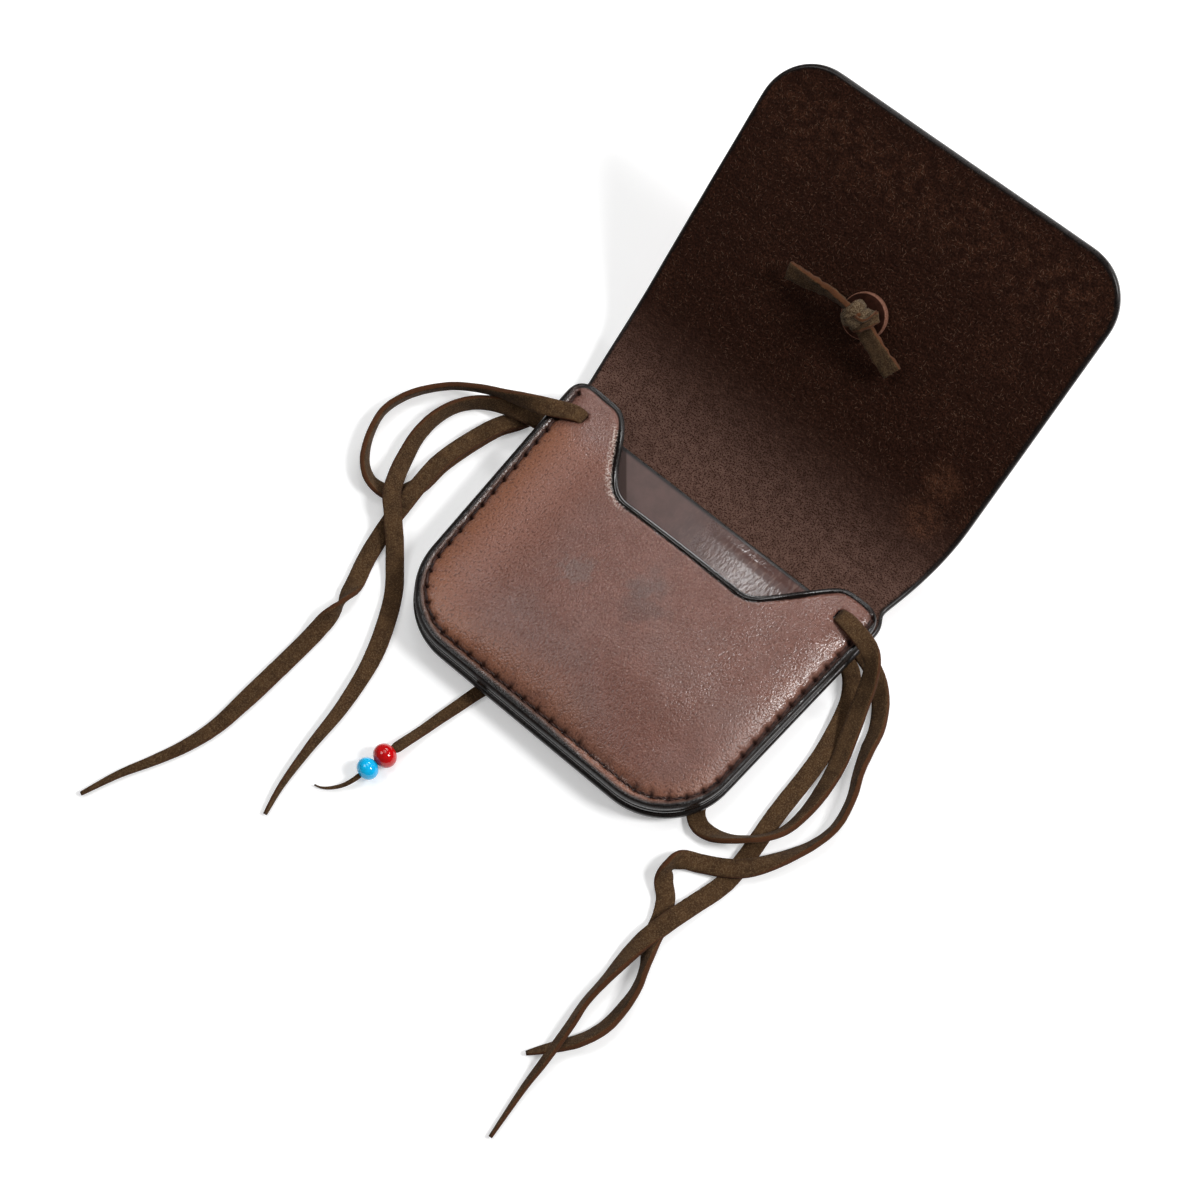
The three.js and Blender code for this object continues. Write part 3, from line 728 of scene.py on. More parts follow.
def most(first, second):
    return maths("MAXIMUM", first, second)


def inverse(share):
    return maths("SUBTRACT", 1.0, share)


# A grain swung about zero
def sway(texture, amount):
    return times(maths("SUBTRACT", texture, 0.5), amount)


def vectors(operation, first, second):
    return addNode("VectorMath", {0: first, 1: second}, operation=operation).outputs[0]


def flatAxes(vector):
    parts = addNode("SeparateXYZ", {0: vector}).outputs
    return parts[0], parts[1]


def mixColour(share, first, second):
    return addNode("Mix", {0: share, 6: first, 7: second}, data_type="RGBA").outputs[2]


# Short curved strokes, each in a cell of its own: fibres, scuffs and scratches
def strokes(vector, cell, length, width, share, shift, bend):
    moved = vectors("ADD", vector, (shift, shift * 1.7, 0))
    cells = addNode("TexVoronoi", {"Vector": moved, "Scale": 1 / cell}, voronoi_dimensions="2D")
    local = vectors("SUBTRACT", moved, cells.outputs["Position"])
    chance = addNode("SeparateColor", {0: cells.outputs["Color"]})
    turn = times(chance.outputs[0], 2 * math.pi)
    turned = addNode("VectorRotate", {"Vector": local, "Angle": turn}, rotation_type="Z_AXIS").outputs[0]
    along, off = flatAxes(turned)
    across = maths("ABSOLUTE", plus(off, times(along, along, bend)))
    mask = times(remap(across, width, width * 0.3), remap(maths("ABSOLUTE", along), length, length * 0.6))
    return times(mask, maths("LESS_THAN", chance.outputs[1], share))


def spot(vector, x, y, radius, wander=0.0):
    gap = addNode("VectorMath", {0: vector, 1: (x, y, 0)}, operation="DISTANCE").outputs["Value"]
    return remap(plus(gap, wander), radius, radius * 0.35)


# Bumps laid over one another: height, distance and strength of each
def bumps(*layers):
    below = {}
    for height, distance, strength in layers:
        node = addNode("Bump", {"Height": height, "Distance": distance, "Strength": strength, **below})
        below = {"Normal": node.outputs[0]}
    return below["Normal"]


# Pebbled grain: rounded cells a little stretched, with hair pores between them
def pebble(place, cell, stretch):
    warp = addNode("TexNoise", {"Vector": place, "Scale": 0.8 / cell, "Detail": 2.0}).outputs["Color"]
    swung = vectors("SUBTRACT", warp, (0.5, 0.5, 0.5))
    bent = addNode("VectorMath", {0: swung, "Scale": cell * 1.1}, operation="SCALE").outputs[0]
    drawn = addNode("Mapping", {"Vector": vectors("ADD", place, bent), "Scale": stretch}).outputs[0]
    inputs = {"Vector": drawn, "Scale": 1 / cell}
    return addNode("TexVoronoi", inputs, voronoi_dimensions="2D", feature="SMOOTH_F1").outputs["Distance"]


leatherTone = {
    "mauve": (0.18, 0.082, 0.064), "deep": (0.14, 0.061, 0.046), "tan": (0.25, 0.1, 0.052),
    "grey": (0.17, 0.108, 0.094), "lip": (0.085, 0.058, 0.05), "burnish": (0.005, 0.0036, 0.0032),
    "groove": (0.018, 0.007, 0.005), "fleck": (0.34, 0.19, 0.14), "pore": (0.1, 0.042, 0.03),
    "worn edge": (0.014, 0.0085, 0.007), "paintedRimHighlight": (0.5, 0.41, 0.36), "paintedLeftTone": (0.25, 0.116, 0.085),
}


# Waxed grain side: mauve brown, tan towards the seam, black burnished edges, painted light as a lighter left
# side, and a pale painted highlight beside the mouth's rim on the left ear
def grainFinish(name, marks, tanSide):
    material = newFinish(name)
    tone = leatherTone
    place = read("pattern", "Vector")
    across, up = flatAxes(place)
    edge, rim, seam = read("edge"), read("rim"), read("seam")
    mouth = inverse(rim)
    cloud = grain(place, 0.045, 4)
    patch = grain(place, 0.16, 5, 0.65)
    fine = grain(place, 1.5, 4, 0.7, stretch=(1, 0.7, 1))
    pebbles = pebble(place, 0.5, (1, 0.8, 1))
    scratches = strokes(place, 9, 4.2, 0.11, 0.3, 3.1, 0.03)
    colour = mixColour(remap(patch, 0.3, 0.72), tone["deep"], tone["mauve"])
    colour = mixColour(times(remap(cloud, 0.4, 0.7), 0.35), colour, tone["grey"])
    # Painted light: the left side below the ears gets a lighter copy of the mauve
    paintedLeftLight = times(remap(across, -22, tanSide * -1.02), remap(up, -13, -24), 0.8)
    colour = mixColour(paintedLeftLight, colour, tone["paintedLeftTone"])
    leftness = remap(across, tanSide, -tanSide, 0.25, 0.85)
    lowness = remap(up, -58, -92, 0.0, 0.6)
    band = times(remap(edge, 22, 4.5), most(leftness, lowness), remap(patch, 0.25, 0.6, 0.45, 1.0))
    colour = mixColour(times(band, rim, remap(up, -11, -22)), colour, tone["tan"])
    for x, y, radius, share, shade in marks:
        mark = spot(place, x, y, radius, sway(patch, radius * 3.2))
        colour = mixColour(times(mark, remap(patch, 0.3, 0.6, 0.6 * share, share)), colour, shade)
    colour = mixColour(times(scratches, 0.35), colour, tone["fleck"])
    colour = mixColour(times(remap(fine, 0.52, 0.7), 0.42), colour, tone["fleck"])
    colour = mixColour(times(remap(pebbles, 0.4, 0.7), 0.8), colour, tone["pore"])
    colour = mixColour(times(remap(edge, 4.2, 3.4), rim, 0.7), colour, tone["lip"])
    colour = mixColour(times(remap(edge, 3.5, 1.8), rim), colour, tone["burnish"])
    wobble = times(plus(edge, sway(patch, 1.2)), remap(up, -13, -4, 1.0, 1.25))
    colour = mixColour(times(remap(wobble, 2.9, 2.0), mouth), colour, tone["burnish"])
    # Painted highlight: a pale grainy band beside the mouth's rim on the left ear
    paintedRimHighlight = times(remap(edge, 4.7, 3.4), remap(edge, 1.7, 2.3), mouth, remap(across, -16, -26))
    paintedRimHighlight = times(paintedRimHighlight, remap(fine, 0.46, 0.6), remap(up, -5, -10), 0.85)
    colour = mixColour(paintedRimHighlight, colour, tone["paintedRimHighlight"])
    # Painted shade in the stitch groove and holes
    colour = mixColour(seam, colour, tone["groove"])
    handled = times(remap(edge, 4.6, 3.2), mouth, remap(up, -4, -11, -0.1, 0.1))
    gloss = maths("SUBTRACT", remap(fine, 0.3, 0.7, 0.19, 0.3), handled)
    unpolished = times(remap(across, 34, 50), remap(up, -42, -68, -0.06, 0.15))
    smoother = remap(edge, 0.8, 1.9, 0.1, 1.0)
    crinkle = grain(place, 1.4, 1.0, 0.5, stretch=(1, 0.75, 1))
    return finished(material, {
        "Base Color": colour, "Roughness": plus(gloss, unpolished), "Specular IOR Level": 0.38,
        "Normal": bumps((times(inverse(pebbles), smoother), 0.0001, 0.9),
                        (times(crinkle, smoother), 0.00016, 0.9),
                        (times(patch, smoother), 0.00015, 0.7),
                        (inverse(scratches), 0.00004, 0.6))})


# Black burnished edges of all the panels
def burnishedFinish(name):
    material = newFinish(name)
    place = read("pattern", "Vector")
    patch = grain(place, 0.45, 5, 0.7)
    fine = grain(place, 1.6, 4, 0.7)
    within = times(remap(flatAxes(place)[1], -23, -27), inverse(read("rim")))
    even = remap(within, 0.0, 1.0, 1.0, 0.1)
    return finished(material, {
        "Base Color": mixColour(remap(patch, 0.35, 0.7), leatherTone["burnish"], leatherTone["worn edge"]),
        "Roughness": maths("SUBTRACT", remap(fine, 0.3, 0.7, 0.24, 0.36), times(within, 0.16)),
        "Specular IOR Level": 0.26,
        "Normal": bumps((times(patch, even), 0.00007, 0.8), (times(fine, even), 0.00003, 0.8))})


fleshTone = {
    "dark": (0.011, 0.0031, 0.0013), "brown": (0.05, 0.0185, 0.0102), "rust": (0.115, 0.046, 0.024),
    "wornAndLit": (0.118, 0.065, 0.05), "pit": (0.024, 0.0092, 0.0054), "fibre": (0.15, 0.088, 0.058),
    "burnish": (0.005, 0.0036, 0.0032),
}


# Rough flesh side of the flap: loose fibres, pitted near the fold, and paler near the fold, partly wear and
# partly painted sheen
def fleshFinish(name):
    material = newFinish(name)
    tone = fleshTone
    place, edge = read("pattern", "Vector"), read("edge")
    reach = flatAxes(place)[1]
    cloud = grain(place, 0.035, 5, 0.65)
    patch = grain(place, 0.25, 5, 0.7)
    felt = grain(place, 2.0, 4, 0.75, stretch=(1, 0.7, 1))
    share = times(remap(felt, 0.38, 0.66), remap(patch, 0.3, 0.68, 0.4, 1.0))
    colour = mixColour(share, tone["dark"], tone["brown"])
    colour = mixColour(times(remap(cloud, 0.5, 0.75, 0.0, 0.4), share), colour, tone["rust"])
    # Paler towards the fold: partly wear, partly painted sheen on the curve of the neck
    wornAndLit = remap(reach, 55, 5)
    wornAndLit = times(wornAndLit, wornAndLit, remap(patch, 0.3, 0.65, 0.75, 1.15), 0.83)
    colour = mixColour(wornAndLit, colour, tone["wornAndLit"])
    topWear = times(remap(reach, 98, 118, 0.0, 0.4), remap(reach, 128, 122), remap(patch, 0.42, 0.7))
    sideWear = most(spot(place, 50, 48, 8), spot(place, 51, 34, 9))
    sideWear = times(sideWear, remap(patch, 0.35, 0.65, 0.2, 0.9))
    for wear in (topWear, sideWear):
        colour = mixColour(times(wear, remap(felt, 0.36, 0.62, 0.3, 0.9)), colour, tone["rust"])
    holes = plus(grain(place, 2.0, 2, 0.6), sway(patch, 0.16))
    pits = times(remap(holes, 0.5, 0.41), remap(reach, 62, 24, 0.15, 1.0))
    colour = mixColour(pits, colour, tone["pit"])
    coarse = strokes(place, 2.4, 0.75, 0.12, 0.5, 0.0, 0.45)
    finer = strokes(place, 1.4, 0.42, 0.1, 0.55, 5.3, 0.5)
    hairs = times(most(coarse, finer), remap(patch, 0.35, 0.65, 0.1, 0.85), remap(reach, 18, 50, 0.15, 1.0))
    colour = mixColour(hairs, colour, tone["fibre"])
    wobble = plus(edge, sway(patch, 1.4))
    colour = mixColour(remap(wobble, 2.0, 0.9), colour, tone["burnish"])
    lumps = grain(place, 0.7, 2.5, 0.6)
    return finished(material, {
        "Base Color": colour, "Roughness": remap(edge, 0.7, 1.9, 0.36, 0.75), "Specular IOR Level": 0.06,
        "Normal": bumps((lumps, 0.0011, 0.9), (felt, 0.00025, 0.8), (hairs, 0.00025, 0.8))})


liningTone = {
    "base": (0.085, 0.042, 0.035), "shade": (0.06, 0.028, 0.023), "scuffAndSheen": (0.22, 0.15, 0.125),
    "paintedShadeWedge": (0.03, 0.0115, 0.008), "burnish": (0.0075, 0.006, 0.006),
}


# Shiny lining with pale scuffs on its wrinkles, partly painted sheen, towards its right half, and a dull
# wedge of painted shade at its left end
def liningFinish(name):
    material = newFinish(name)
    tone = liningTone
    place, edge = read("pattern", "Vector"), read("edge")
    across, up = flatAxes(place)
    patch = grain(place, 0.14, 5, 0.65)
    wrinkles = grain(place, 0.85, 2, 0.55, stretch=(1.25, 0.4, 1))
    fine = grain(place, 2.0, 3, 0.6)
    side = remap(across, -18, 22)
    # Painted shade: a dark, dull wedge on the lining beside the left ear
    paintedShadeWedge = times(remap(plus(across, times(up, 0.853)), -42.8, -43.6), remap(up, -31, -26))
    colour = mixColour(remap(patch, 0.3, 0.7), tone["shade"], tone["base"])
    colour = mixColour(paintedShadeWedge, colour, tone["paintedShadeWedge"])
    # Pale scuffs on the wrinkles, partly painted sheen, growing towards the right half
    colour = mixColour(times(remap(wrinkles, 0.5, 0.68), side, 0.35), colour, tone["scuffAndSheen"])
    colour = mixColour(remap(edge, 2.0, 0.8), colour, tone["burnish"])
    matt = times(remap(edge, 1.6, 0.8), 0.25)
    dull = plus(times(inverse(side), 0.28), times(paintedShadeWedge, 0.3))
    return finished(material, {
        "Base Color": colour, "Specular IOR Level": 0.5,
        "Roughness": plus(remap(fine, 0.3, 0.7, 0.1, 0.17), plus(matt, dull)),
        "Normal": bumps((times(wrinkles, remap(side, 0.0, 0.8, 0.25, 1.0)), 0.00013, 0.8))})


suedeTone = {
    "nap": (0.085, 0.045, 0.02), "dark": (0.026, 0.013, 0.0065), "fibre": (0.21, 0.132, 0.066),
    "cut": (0.085, 0.031, 0.0125), "pale": (0.34, 0.26, 0.165),
}


# Napped suede with raw red-brown cut edges
def suedeFinish(name, level, cutLevel):
    material = newFinish(name)
    tone = {}
    for part, shade in suedeTone.items():
        tone[part] = tuple(value * (cutLevel if part == "cut" else level) for value in shade)
    place = read("pattern", "Vector")
    patch = grain(place, 0.22, 4, 0.65)
    nap = grain(place, 2.2, 4, 0.75)
    hairs = strokes(place, 1.1, 0.5, 0.07, 0.55, 1.3, 0.3)
    colour = mixColour(remap(patch, 0.3, 0.7, 0.25, 0.8), tone["dark"], tone["nap"])
    colour = mixColour(times(remap(nap, 0.48, 0.7), 0.55), colour, tone["fibre"])
    colour = mixColour(times(hairs, 0.35), colour, tone["fibre"])
    colour = mixColour(times(remap(nap, 0.46, 0.34), 0.55), colour, tone["dark"])
    # Paler where marked: wear, and on the knot's wraps also a painted highlight
    colour = mixColour(times(remap(nap, 0.38, 0.62), read("wornAndLit")), colour, tone["pale"])
    cutShare = times(remap(read("cut"), 0.25, 0.8), remap(patch, 0.25, 0.6, 0.55, 1.0))
    return finished(material, {
        "Base Color": mixColour(cutShare, colour, tone["cut"]), "Roughness": 0.92, "Specular IOR Level": 0.08,
        "Sheen Weight": 0.04, "Sheen Roughness": 0.5,
        "Normal": bumps((nap, 0.00035, 0.8), (hairs, 0.00012, 0.6))})


threadTone = {"dark": (0.014, 0.0055, 0.004), "brown": (0.055, 0.022, 0.016), "wax": (0.12, 0.058, 0.043)}


# Waxed thread
def threadFinish(name):
    material = newFinish(name)
    place = addNode("TexCoord").outputs["Object"]
    strand = grain(place, 900, 3, 0.6)
    wax = grain(place, 160, 3, 0.6)
    colour = mixColour(remap(strand, 0.35, 0.68), threadTone["dark"], threadTone["brown"])
    colour = mixColour(times(remap(wax, 0.5, 0.75), 0.35), colour, threadTone["wax"])
    return finished(material, {"Base Color": colour, "Roughness": 0.5, "Specular IOR Level": 0.25,
                               "Normal": bumps((strand, 0.0002, 0.7))})


# Glossy moulded bead
def beadFinish(name, bright, deep):
    material = newFinish(name)
    place = addNode("TexCoord").outputs["Object"]
    swirl = grain(place, 240, 3, 0.5)
    dust = grain(place, 2600, 2, 0.5)
    return finished(material, {
        "Base Color": mixColour(remap(swirl, 0.35, 0.7), bright, deep),
        "Roughness": remap(dust, 0.4, 0.75, 0.07, 0.16), "Coat Weight": 0.15, "Coat Roughness": 0.05})


washerTone = {"face": (0.019, 0.0062, 0.0036), "lit face": (0.036, 0.012, 0.007),
              "raw": (0.13, 0.052, 0.031), "pale raw": (0.24, 0.12, 0.085)}


# Leather disc: dark face, raw orange-brown rim
def washerFinish(name):
    material = newFinish(name)
    tone = washerTone
    place = addNode("TexCoord").outputs["Object"]
    patch = grain(place, 260, 4, 0.7)
    fine = grain(place, 1700, 3, 0.7)
    face = mixColour(remap(patch, 0.35, 0.7), tone["face"], tone["lit face"])
    raw = mixColour(remap(fine, 0.3, 0.7), tone["raw"], tone["pale raw"])
    return finished(material, {
        "Base Color": mixColour(read("cut"), face, raw), "Roughness": 0.75, "Specular IOR Level": 0.05,
        "Normal": bumps((fine, 0.0003, 0.7))})


# Grey marks on the front: x, y, radius, share and shade
greyMarks = [(5, -50, 8.5, 0.42, (0.055, 0.04, 0.037)), (2, -44, 7, 0.3, (0.12, 0.1, 0.095)),
             (-18, -54.5, 6.5, 0.5, (0.15, 0.128, 0.12))]
frontGrain = grainFinish("waxed_front_grain", greyMarks, 45)
backGrain = grainFinish("waxed_back_grain", [], 200)
flesh = fleshFinish("flesh_side")
burnished = burnishedFinish("burnished_edge")
liningGrain = liningFinish("shiny_lining")
suede = suedeFinish("napped_suede", 1.0, 1.0)
thread = threadFinish("waxed_thread")
print("finishes ready")


def dress(piece, slot, *materials):
    for material in materials:
        piece.data.materials.append(material)


def settle(piece, node, body, slot, *materials):
    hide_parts(node)
    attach(piece, body)
    dress(piece, slot, *materials)


settle(buildFront(), "front_panel", "pouch", "front_leather", frontGrain, flesh, burnished)
settle(buildLining(), "back_lining", "pouch", "lining_leather", liningGrain, flesh, burnished)
back = buildBack()
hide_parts("back_panel", "flap")
dress(back, "back_leather", flesh, backGrain, burnished)
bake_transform(back)
settle(buildStitches(), "seam_thread", "pouch", "thread", thread)
print("leather and seam ready")

# Ties, from the slot in the ear to the free ends: x, y, z, roll
leftBackRun = [
    (-51.3, -11.8, 8, 0), (-51.3, -11.8, 3.6, 0), (-52.3, -12, 1.6, 0), (-55.3, -12.9, 0.95, 0),
    (-59, -14.9, 0.9, 0), (-62.9, -17, 1.9, 0), (-66.6, -18.9, 4.4, -10), (-70.6, -20.6, 5.6, -30),
    (-75.6, -22.2, 4.4, -55), (-81, -24.4, 2.8, -70), (-85.6, -27.6, 1.6, -78), (-89.2, -32.6, 0.9, -78),
    (-91, -39.5, 0.9, -70), (-91, -47, 0.9, -60), (-89, -54.6, 1.5, -45), (-85.9, -62.2, 3.6, -30),
    (-82.5, -68.3, 4.9, -15), (-78.4, -72.3, 5.1, -5), (-74.3, -76.3, 4.9, 0), (-71, -79.6, 3.6, 0),
    (-67.2, -84, 1.8, 0), (-61.5, -90.7, 0.9, 0), (-55.7, -100.7, 0.9, -5), (-50.8, -112.9, 0.9, -10),
    (-47.4, -129, 0.9, -25), (-46, -146, 0.9, -45), (-44.3, -160, 0.9, -60), (-42.1, -168.9, 0.9, -50),
]
leftFrontRun = [
    (-51.3, -11.8, 8, 0), (-51.4, -11.8, 12.8, 0), (-52.2, -12.1, 14.5, 0), (-55, -13.2, 15.1, 0),
    (-59.4, -15.4, 14.8, -10), (-65, -18, 13.4, -45), (-70.6, -19.5, 11.4, -75), (-77, -20.9, 8.8, -95),
    (-85.3, -23, 5.2, -104), (-95, -28, 2, -106), (-102.8, -37.6, 0.9, -104), (-105.3, -47.3, 0.9, -100),
    (-103.6, -54.8, 0.9, -94), (-100.7, -60.8, 0.9, -86), (-96.7, -65.7, 0.9, -74),
    (-91.6, -68.4, 0.9, -55), (-86.1, -68, 0.9, -25), (-81.9, -65, 0.9, 0), (-79.6, -59, 0.9, 0),
    (-79.1, -48, 0.9, 0), (-74.2, -28.4, 0.9, 0), (-70.6, -22.2, 0.95, 0), (-68.4, -18.6, 1.8, 0),
    (-70.6, -22.2, 2.65, 0), (-74.2, -28.4, 2.8, 0), (-79.1, -48, 3, 0), (-79, -59, 3, 0),
    (-78.3, -67, 2.95, 0), (-77.7, -74, 2.6, 0), (-75.5, -87.6, 0.9, 0), (-71.9, -98.3, 0.9, 10),
    (-70, -106.5, 0.9, 90), (-70.4, -115.8, 0.9, 165), (-70.9, -131.2, 0.9, 180), (-71.6, -147, 0.9, 180),
    (-72.6, -159, 0.9, 180), (-75.2, -168.8, 0.9, 180), (-79.2, -178.2, 0.9, 180),
    (-84.3, -188.5, 0.9, 180), (-88.7, -200.3, 0.9, 180),
]
rightBackRun = [
    (51.3, -11.8, 8, 0), (51.3, -11.8, 3.6, 0), (52.3, -11.8, 1.6, 0), (55, -11.8, 0.95, 0),
    (57.8, -11.8, 0.95, 0), (62.6, -12.4, 1, 0), (67.2, -14, 1, 10), (72.4, -17.2, 0.9, 25),
    (77.4, -22.4, 0.9, 35), (81.4, -29.6, 0.9, 45), (83.2, -36.4, 0.9, 55), (85.6, -44, 0.9, 70),
    (88.8, -51.6, 0.9, 75), (90.6, -61.6, 0.9, 72), (88.9, -70, 0.9, 65), (85.6, -77.2, 1.2, 50),
    (81.6, -84.2, 2.6, 25), (77.6, -89.2, 3, 5), (72.4, -93, 2.4, 0), (66.6, -96, 1.2, 0),
    (62, -98.6, 0.9, -25), (60.1, -102.6, 0.9, -75), (61.6, -106.8, 0.9, -20), (65.6, -110.6, 0.9, 0),
    (68.4, -116, 0.9, 0), (70.6, -123, 0.9, 25), (74, -130, 0.9, 70), (76.3, -136.6, 0.9, 70),
    (77, -144, 0.9, 60), (76.4, -151.5, 0.9, 55), (73.6, -158.4, 0.9, 55), (69.6, -163.9, 0.9, 40),
    (63.9, -171.2, 0.9, 30),
]
rightFrontRun = [
    (51.3, -11.8, 8, 0), (51.4, -11.8, 12.8, 0), (52.2, -12, 14.5, 0), (55, -12.4, 15.1, 0),
    (60, -13.3, 14.9, 5), (64.6, -14.6, 13.9, 20), (68.6, -17.4, 11.6, 45), (71.2, -22, 8, 35),
    (73.4, -28.4, 4.8, 25), (76.2, -36.4, 2.6, 25), (79, -45.4, 1.2, 30), (80.6, -55.2, 0.9, 45),
    (80.8, -64.9, 0.9, 60), (79.6, -72.6, 1.6, 65), (76.8, -78.2, 2.9, 68), (73, -82.2, 2.95, 68),
    (69, -85.2, 2, 60), (64.8, -87, 1, 40), (60, -87.4, 0.9, 15), (56.4, -85.4, 0.9, 0),
    (54, -80.8, 0.9, 0), (53.6, -72, 0.9, 0), (54.4, -45, 0.9, 0), (55.6, -23, 0.9, 0),
    (58.4, -19, 0.9, 0), (62, -18.4, 0.9, 0), (68.2, -25.2, 0.9, 0), (73.2, -44.2, 0.9, 0),
    (74.6, -69.9, 0.9, 0), (76, -87, 0.9, 0), (75.9, -96, 0.9, 0), (73, -107.4, 1.8, 0),
    (70.6, -116.8, 2.9, 0), (68.8, -125.6, 2.2, 25), (67.9, -140, 0.9, 65), (67.6, -149.6, 0.9, 68),
    (68.6, -157.2, 2, 60), (69.6, -170.4, 2, 50), (69.8, -178, 0.9, 55), (71.6, -195.4, 0.9, 60),
]


ties = {
    "left_tie_back": {"rows": leftBackRun, "node": "left_tie", "taper": 62, "tip": 0.17, "seed": 11.0},
    "left_tie_front": {"rows": leftFrontRun, "node": "left_tie", "taper": 60, "tip": 0.2, "seed": 23.0},
    "right_tie_back": {"rows": rightBackRun, "node": "right_tie", "taper": 16, "tip": 0.2, "seed": 37.0},
    "right_tie_front": {"rows": rightFrontRun, "node": "right_tie", "taper": 60, "tip": 0.17, "seed": 51.0},
}
for name, cut in ties.items():
    widthAt = taperedLace(cut["taper"], cut["tip"])
    tie, tiePath, tieLength = ribbon(name, cut["rows"], widthAt, (0, 1, 0), cut["seed"])
    settle(tie, cut["node"], "pouch", "suede", suede)
print("ties ready")

# Closing thong and its beads
thong = {"width": 4.3, "neck": 3.3, "tail": 1.5, "tip": 0.5, "tipRun": 14,
         "narrowFrom": 44.8, "narrowTo": 46.6, "seed": 71.0}
thongRun = [
    (-16.4, -87.6, 4.9, 0), (-16.4, -87.7, 3.2, 0), (-16.6, -88.7, 1.7, 0), (-17.1, -91, 1, 0),
    (-18.1, -95.6, 0.9, 0), (-19.4, -100, 0.9, 0), (-20.8, -106, 0.9, 0), (-22.2, -112, 0.9, 8),
    (-23.6, -118.6, 1.1, 14), (-24.6, -123.4, 2, 10), (-25.6, -129, 3.7, 0), (-26.3, -132.6, 3.95, 0),
    (-27.6, -138.9, 3.75, 0), (-28.4, -143, 2.9, 0), (-30.2, -147, 1.5, 0), (-32.8, -150.2, 0.9, 0),
    (-35.2, -152, 0.8, 0), (-37.1, -152.6, 0.8, 0),
]


def thongWidth(run, total):
    narrow = ease((run - thong["narrowFrom"]) / (thong["narrowTo"] - thong["narrowFrom"]))
    strip = thong["width"] + (thong["neck"] - thong["width"]) * ease(run / thong["narrowFrom"])
    width = strip + (thong["tail"] - strip) * narrow
    return np.maximum(thong["tip"], width * np.clip((total - run) / thong["tipRun"], 0, 1) ** 0.5)


thongPiece, thongPath, thongLength = ribbon("closing_thong_suede", thongRun, thongWidth, (1, 0, 0),
                                            thong["seed"])
settle(thongPiece, "closing_thong", "pouch", "suede", suede)

beadCut = {"segments": 64, "rings": 40, "boreShare": 0.24}
beads = {
    "red_bead": {"place": (-26.3, -132.6, 3.95), "radius": 3.9, "length": 6.9, "slot": "red_bead",
                 "bright": (0.56, 0.001, 0.003), "deep": (0.4, 0.0005, 0.002)},
    "blue_bead": {"place": (-27.6, -138.9, 3.75), "radius": 3.55, "length": 6.3, "slot": "blue_bead",
                  "bright": (0.001, 0.5, 0.88), "deep": (0.001, 0.41, 0.8)},
}
beadLine = Vector(beads["red_bead"]["place"]) - Vector(beads["blue_bead"]["place"])
smoothAngle = math.radians(50)


def named(name):
    piece = bpy.context.object
    piece.name = name
    piece.data.name = name
    return piece


# Leaves edit mode on, with only the wanted faces selected
def selectFaces(piece, wanted):
    bpy.ops.object.mode_set(mode="EDIT")
    bpy.ops.mesh.select_all(action="DESELECT")
    bpy.ops.object.mode_set(mode="OBJECT")
    for face in piece.data.polygons:
        face.select = wanted(face)
    bpy.ops.object.mode_set(mode="EDIT")


# Joins the two selected rings by a bore and leaves edit mode
def bridgeBore():
    bpy.ops.mesh.bridge_edge_loops()
    bpy.ops.mesh.select_all(action="SELECT")
    bpy.ops.mesh.normals_make_consistent(inside=False)
    bpy.ops.object.mode_set(mode="OBJECT")


def buildBead(name, cut):
    bpy.ops.object.select_all(action="DESELECT")
    bpy.ops.mesh.primitive_uv_sphere_add(segments=beadCut["segments"], ring_count=beadCut["rings"],
                                         radius=cut["radius"] * mm)
    piece = named(name + "_glossy")
    bore = beadCut["boreShare"] * cut["radius"] * mm
    selectFaces(piece, lambda face: math.hypot(face.center.x, face.center.y) < bore)
    bpy.ops.mesh.delete(type="FACE")
    bpy.ops.mesh.select_mode(type="EDGE")
    bpy.ops.mesh.select_non_manifold()
    bridgeBore()
    piece.scale = (1, 1, cut["length"] / (2 * cut["radius"]))
    piece.rotation_mode = "QUATERNION"
    piece.rotation_quaternion = beadLine.to_track_quat("Z", "Y")
    piece.location = (Vector(cut["place"]) + Vector((0, foldY, 0))) * mm
    bpy.ops.object.transform_apply(location=True, rotation=True, scale=True)
    bpy.ops.object.shade_smooth_by_angle(angle=smoothAngle)
    settle(piece, name, "pouch", cut["slot"], beadFinish(name + "_finish", cut["bright"], cut["deep"]))
    return piece


beadPieces = [buildBead(name, cut) for name, cut in beads.items()]
print("thong and beads ready")

# Washer under the knot, its upper right side lifted a little
washerCut = {"radius": 7.4, "thickness": 2.9, "shift": (1.0, 0.8, 0), "hole": 2.9,
             "sides": 72, "bevel": 0.45, "bevelSteps": 3, "inset": 1.6,
             "clear": 0.25, "tilt": 0.6, "tiltWay": (0.55, 0.84, 0), "tiltFrom": 1, "tiltRun": 7.6,
             "wave": 0.12, "waveSize": 0.35, "rawRim": 0.35}


# Places in the flap's own frame: x across, y up the flap, z off its inner face
def onFlap(rows):
    x, y, z = flapPoint(rows[:, 0], flapCut["knotReach"] + rows[:, 1], pouch["backThickness"] + rows[:, 2])
    return np.column_stack([x, y, z])


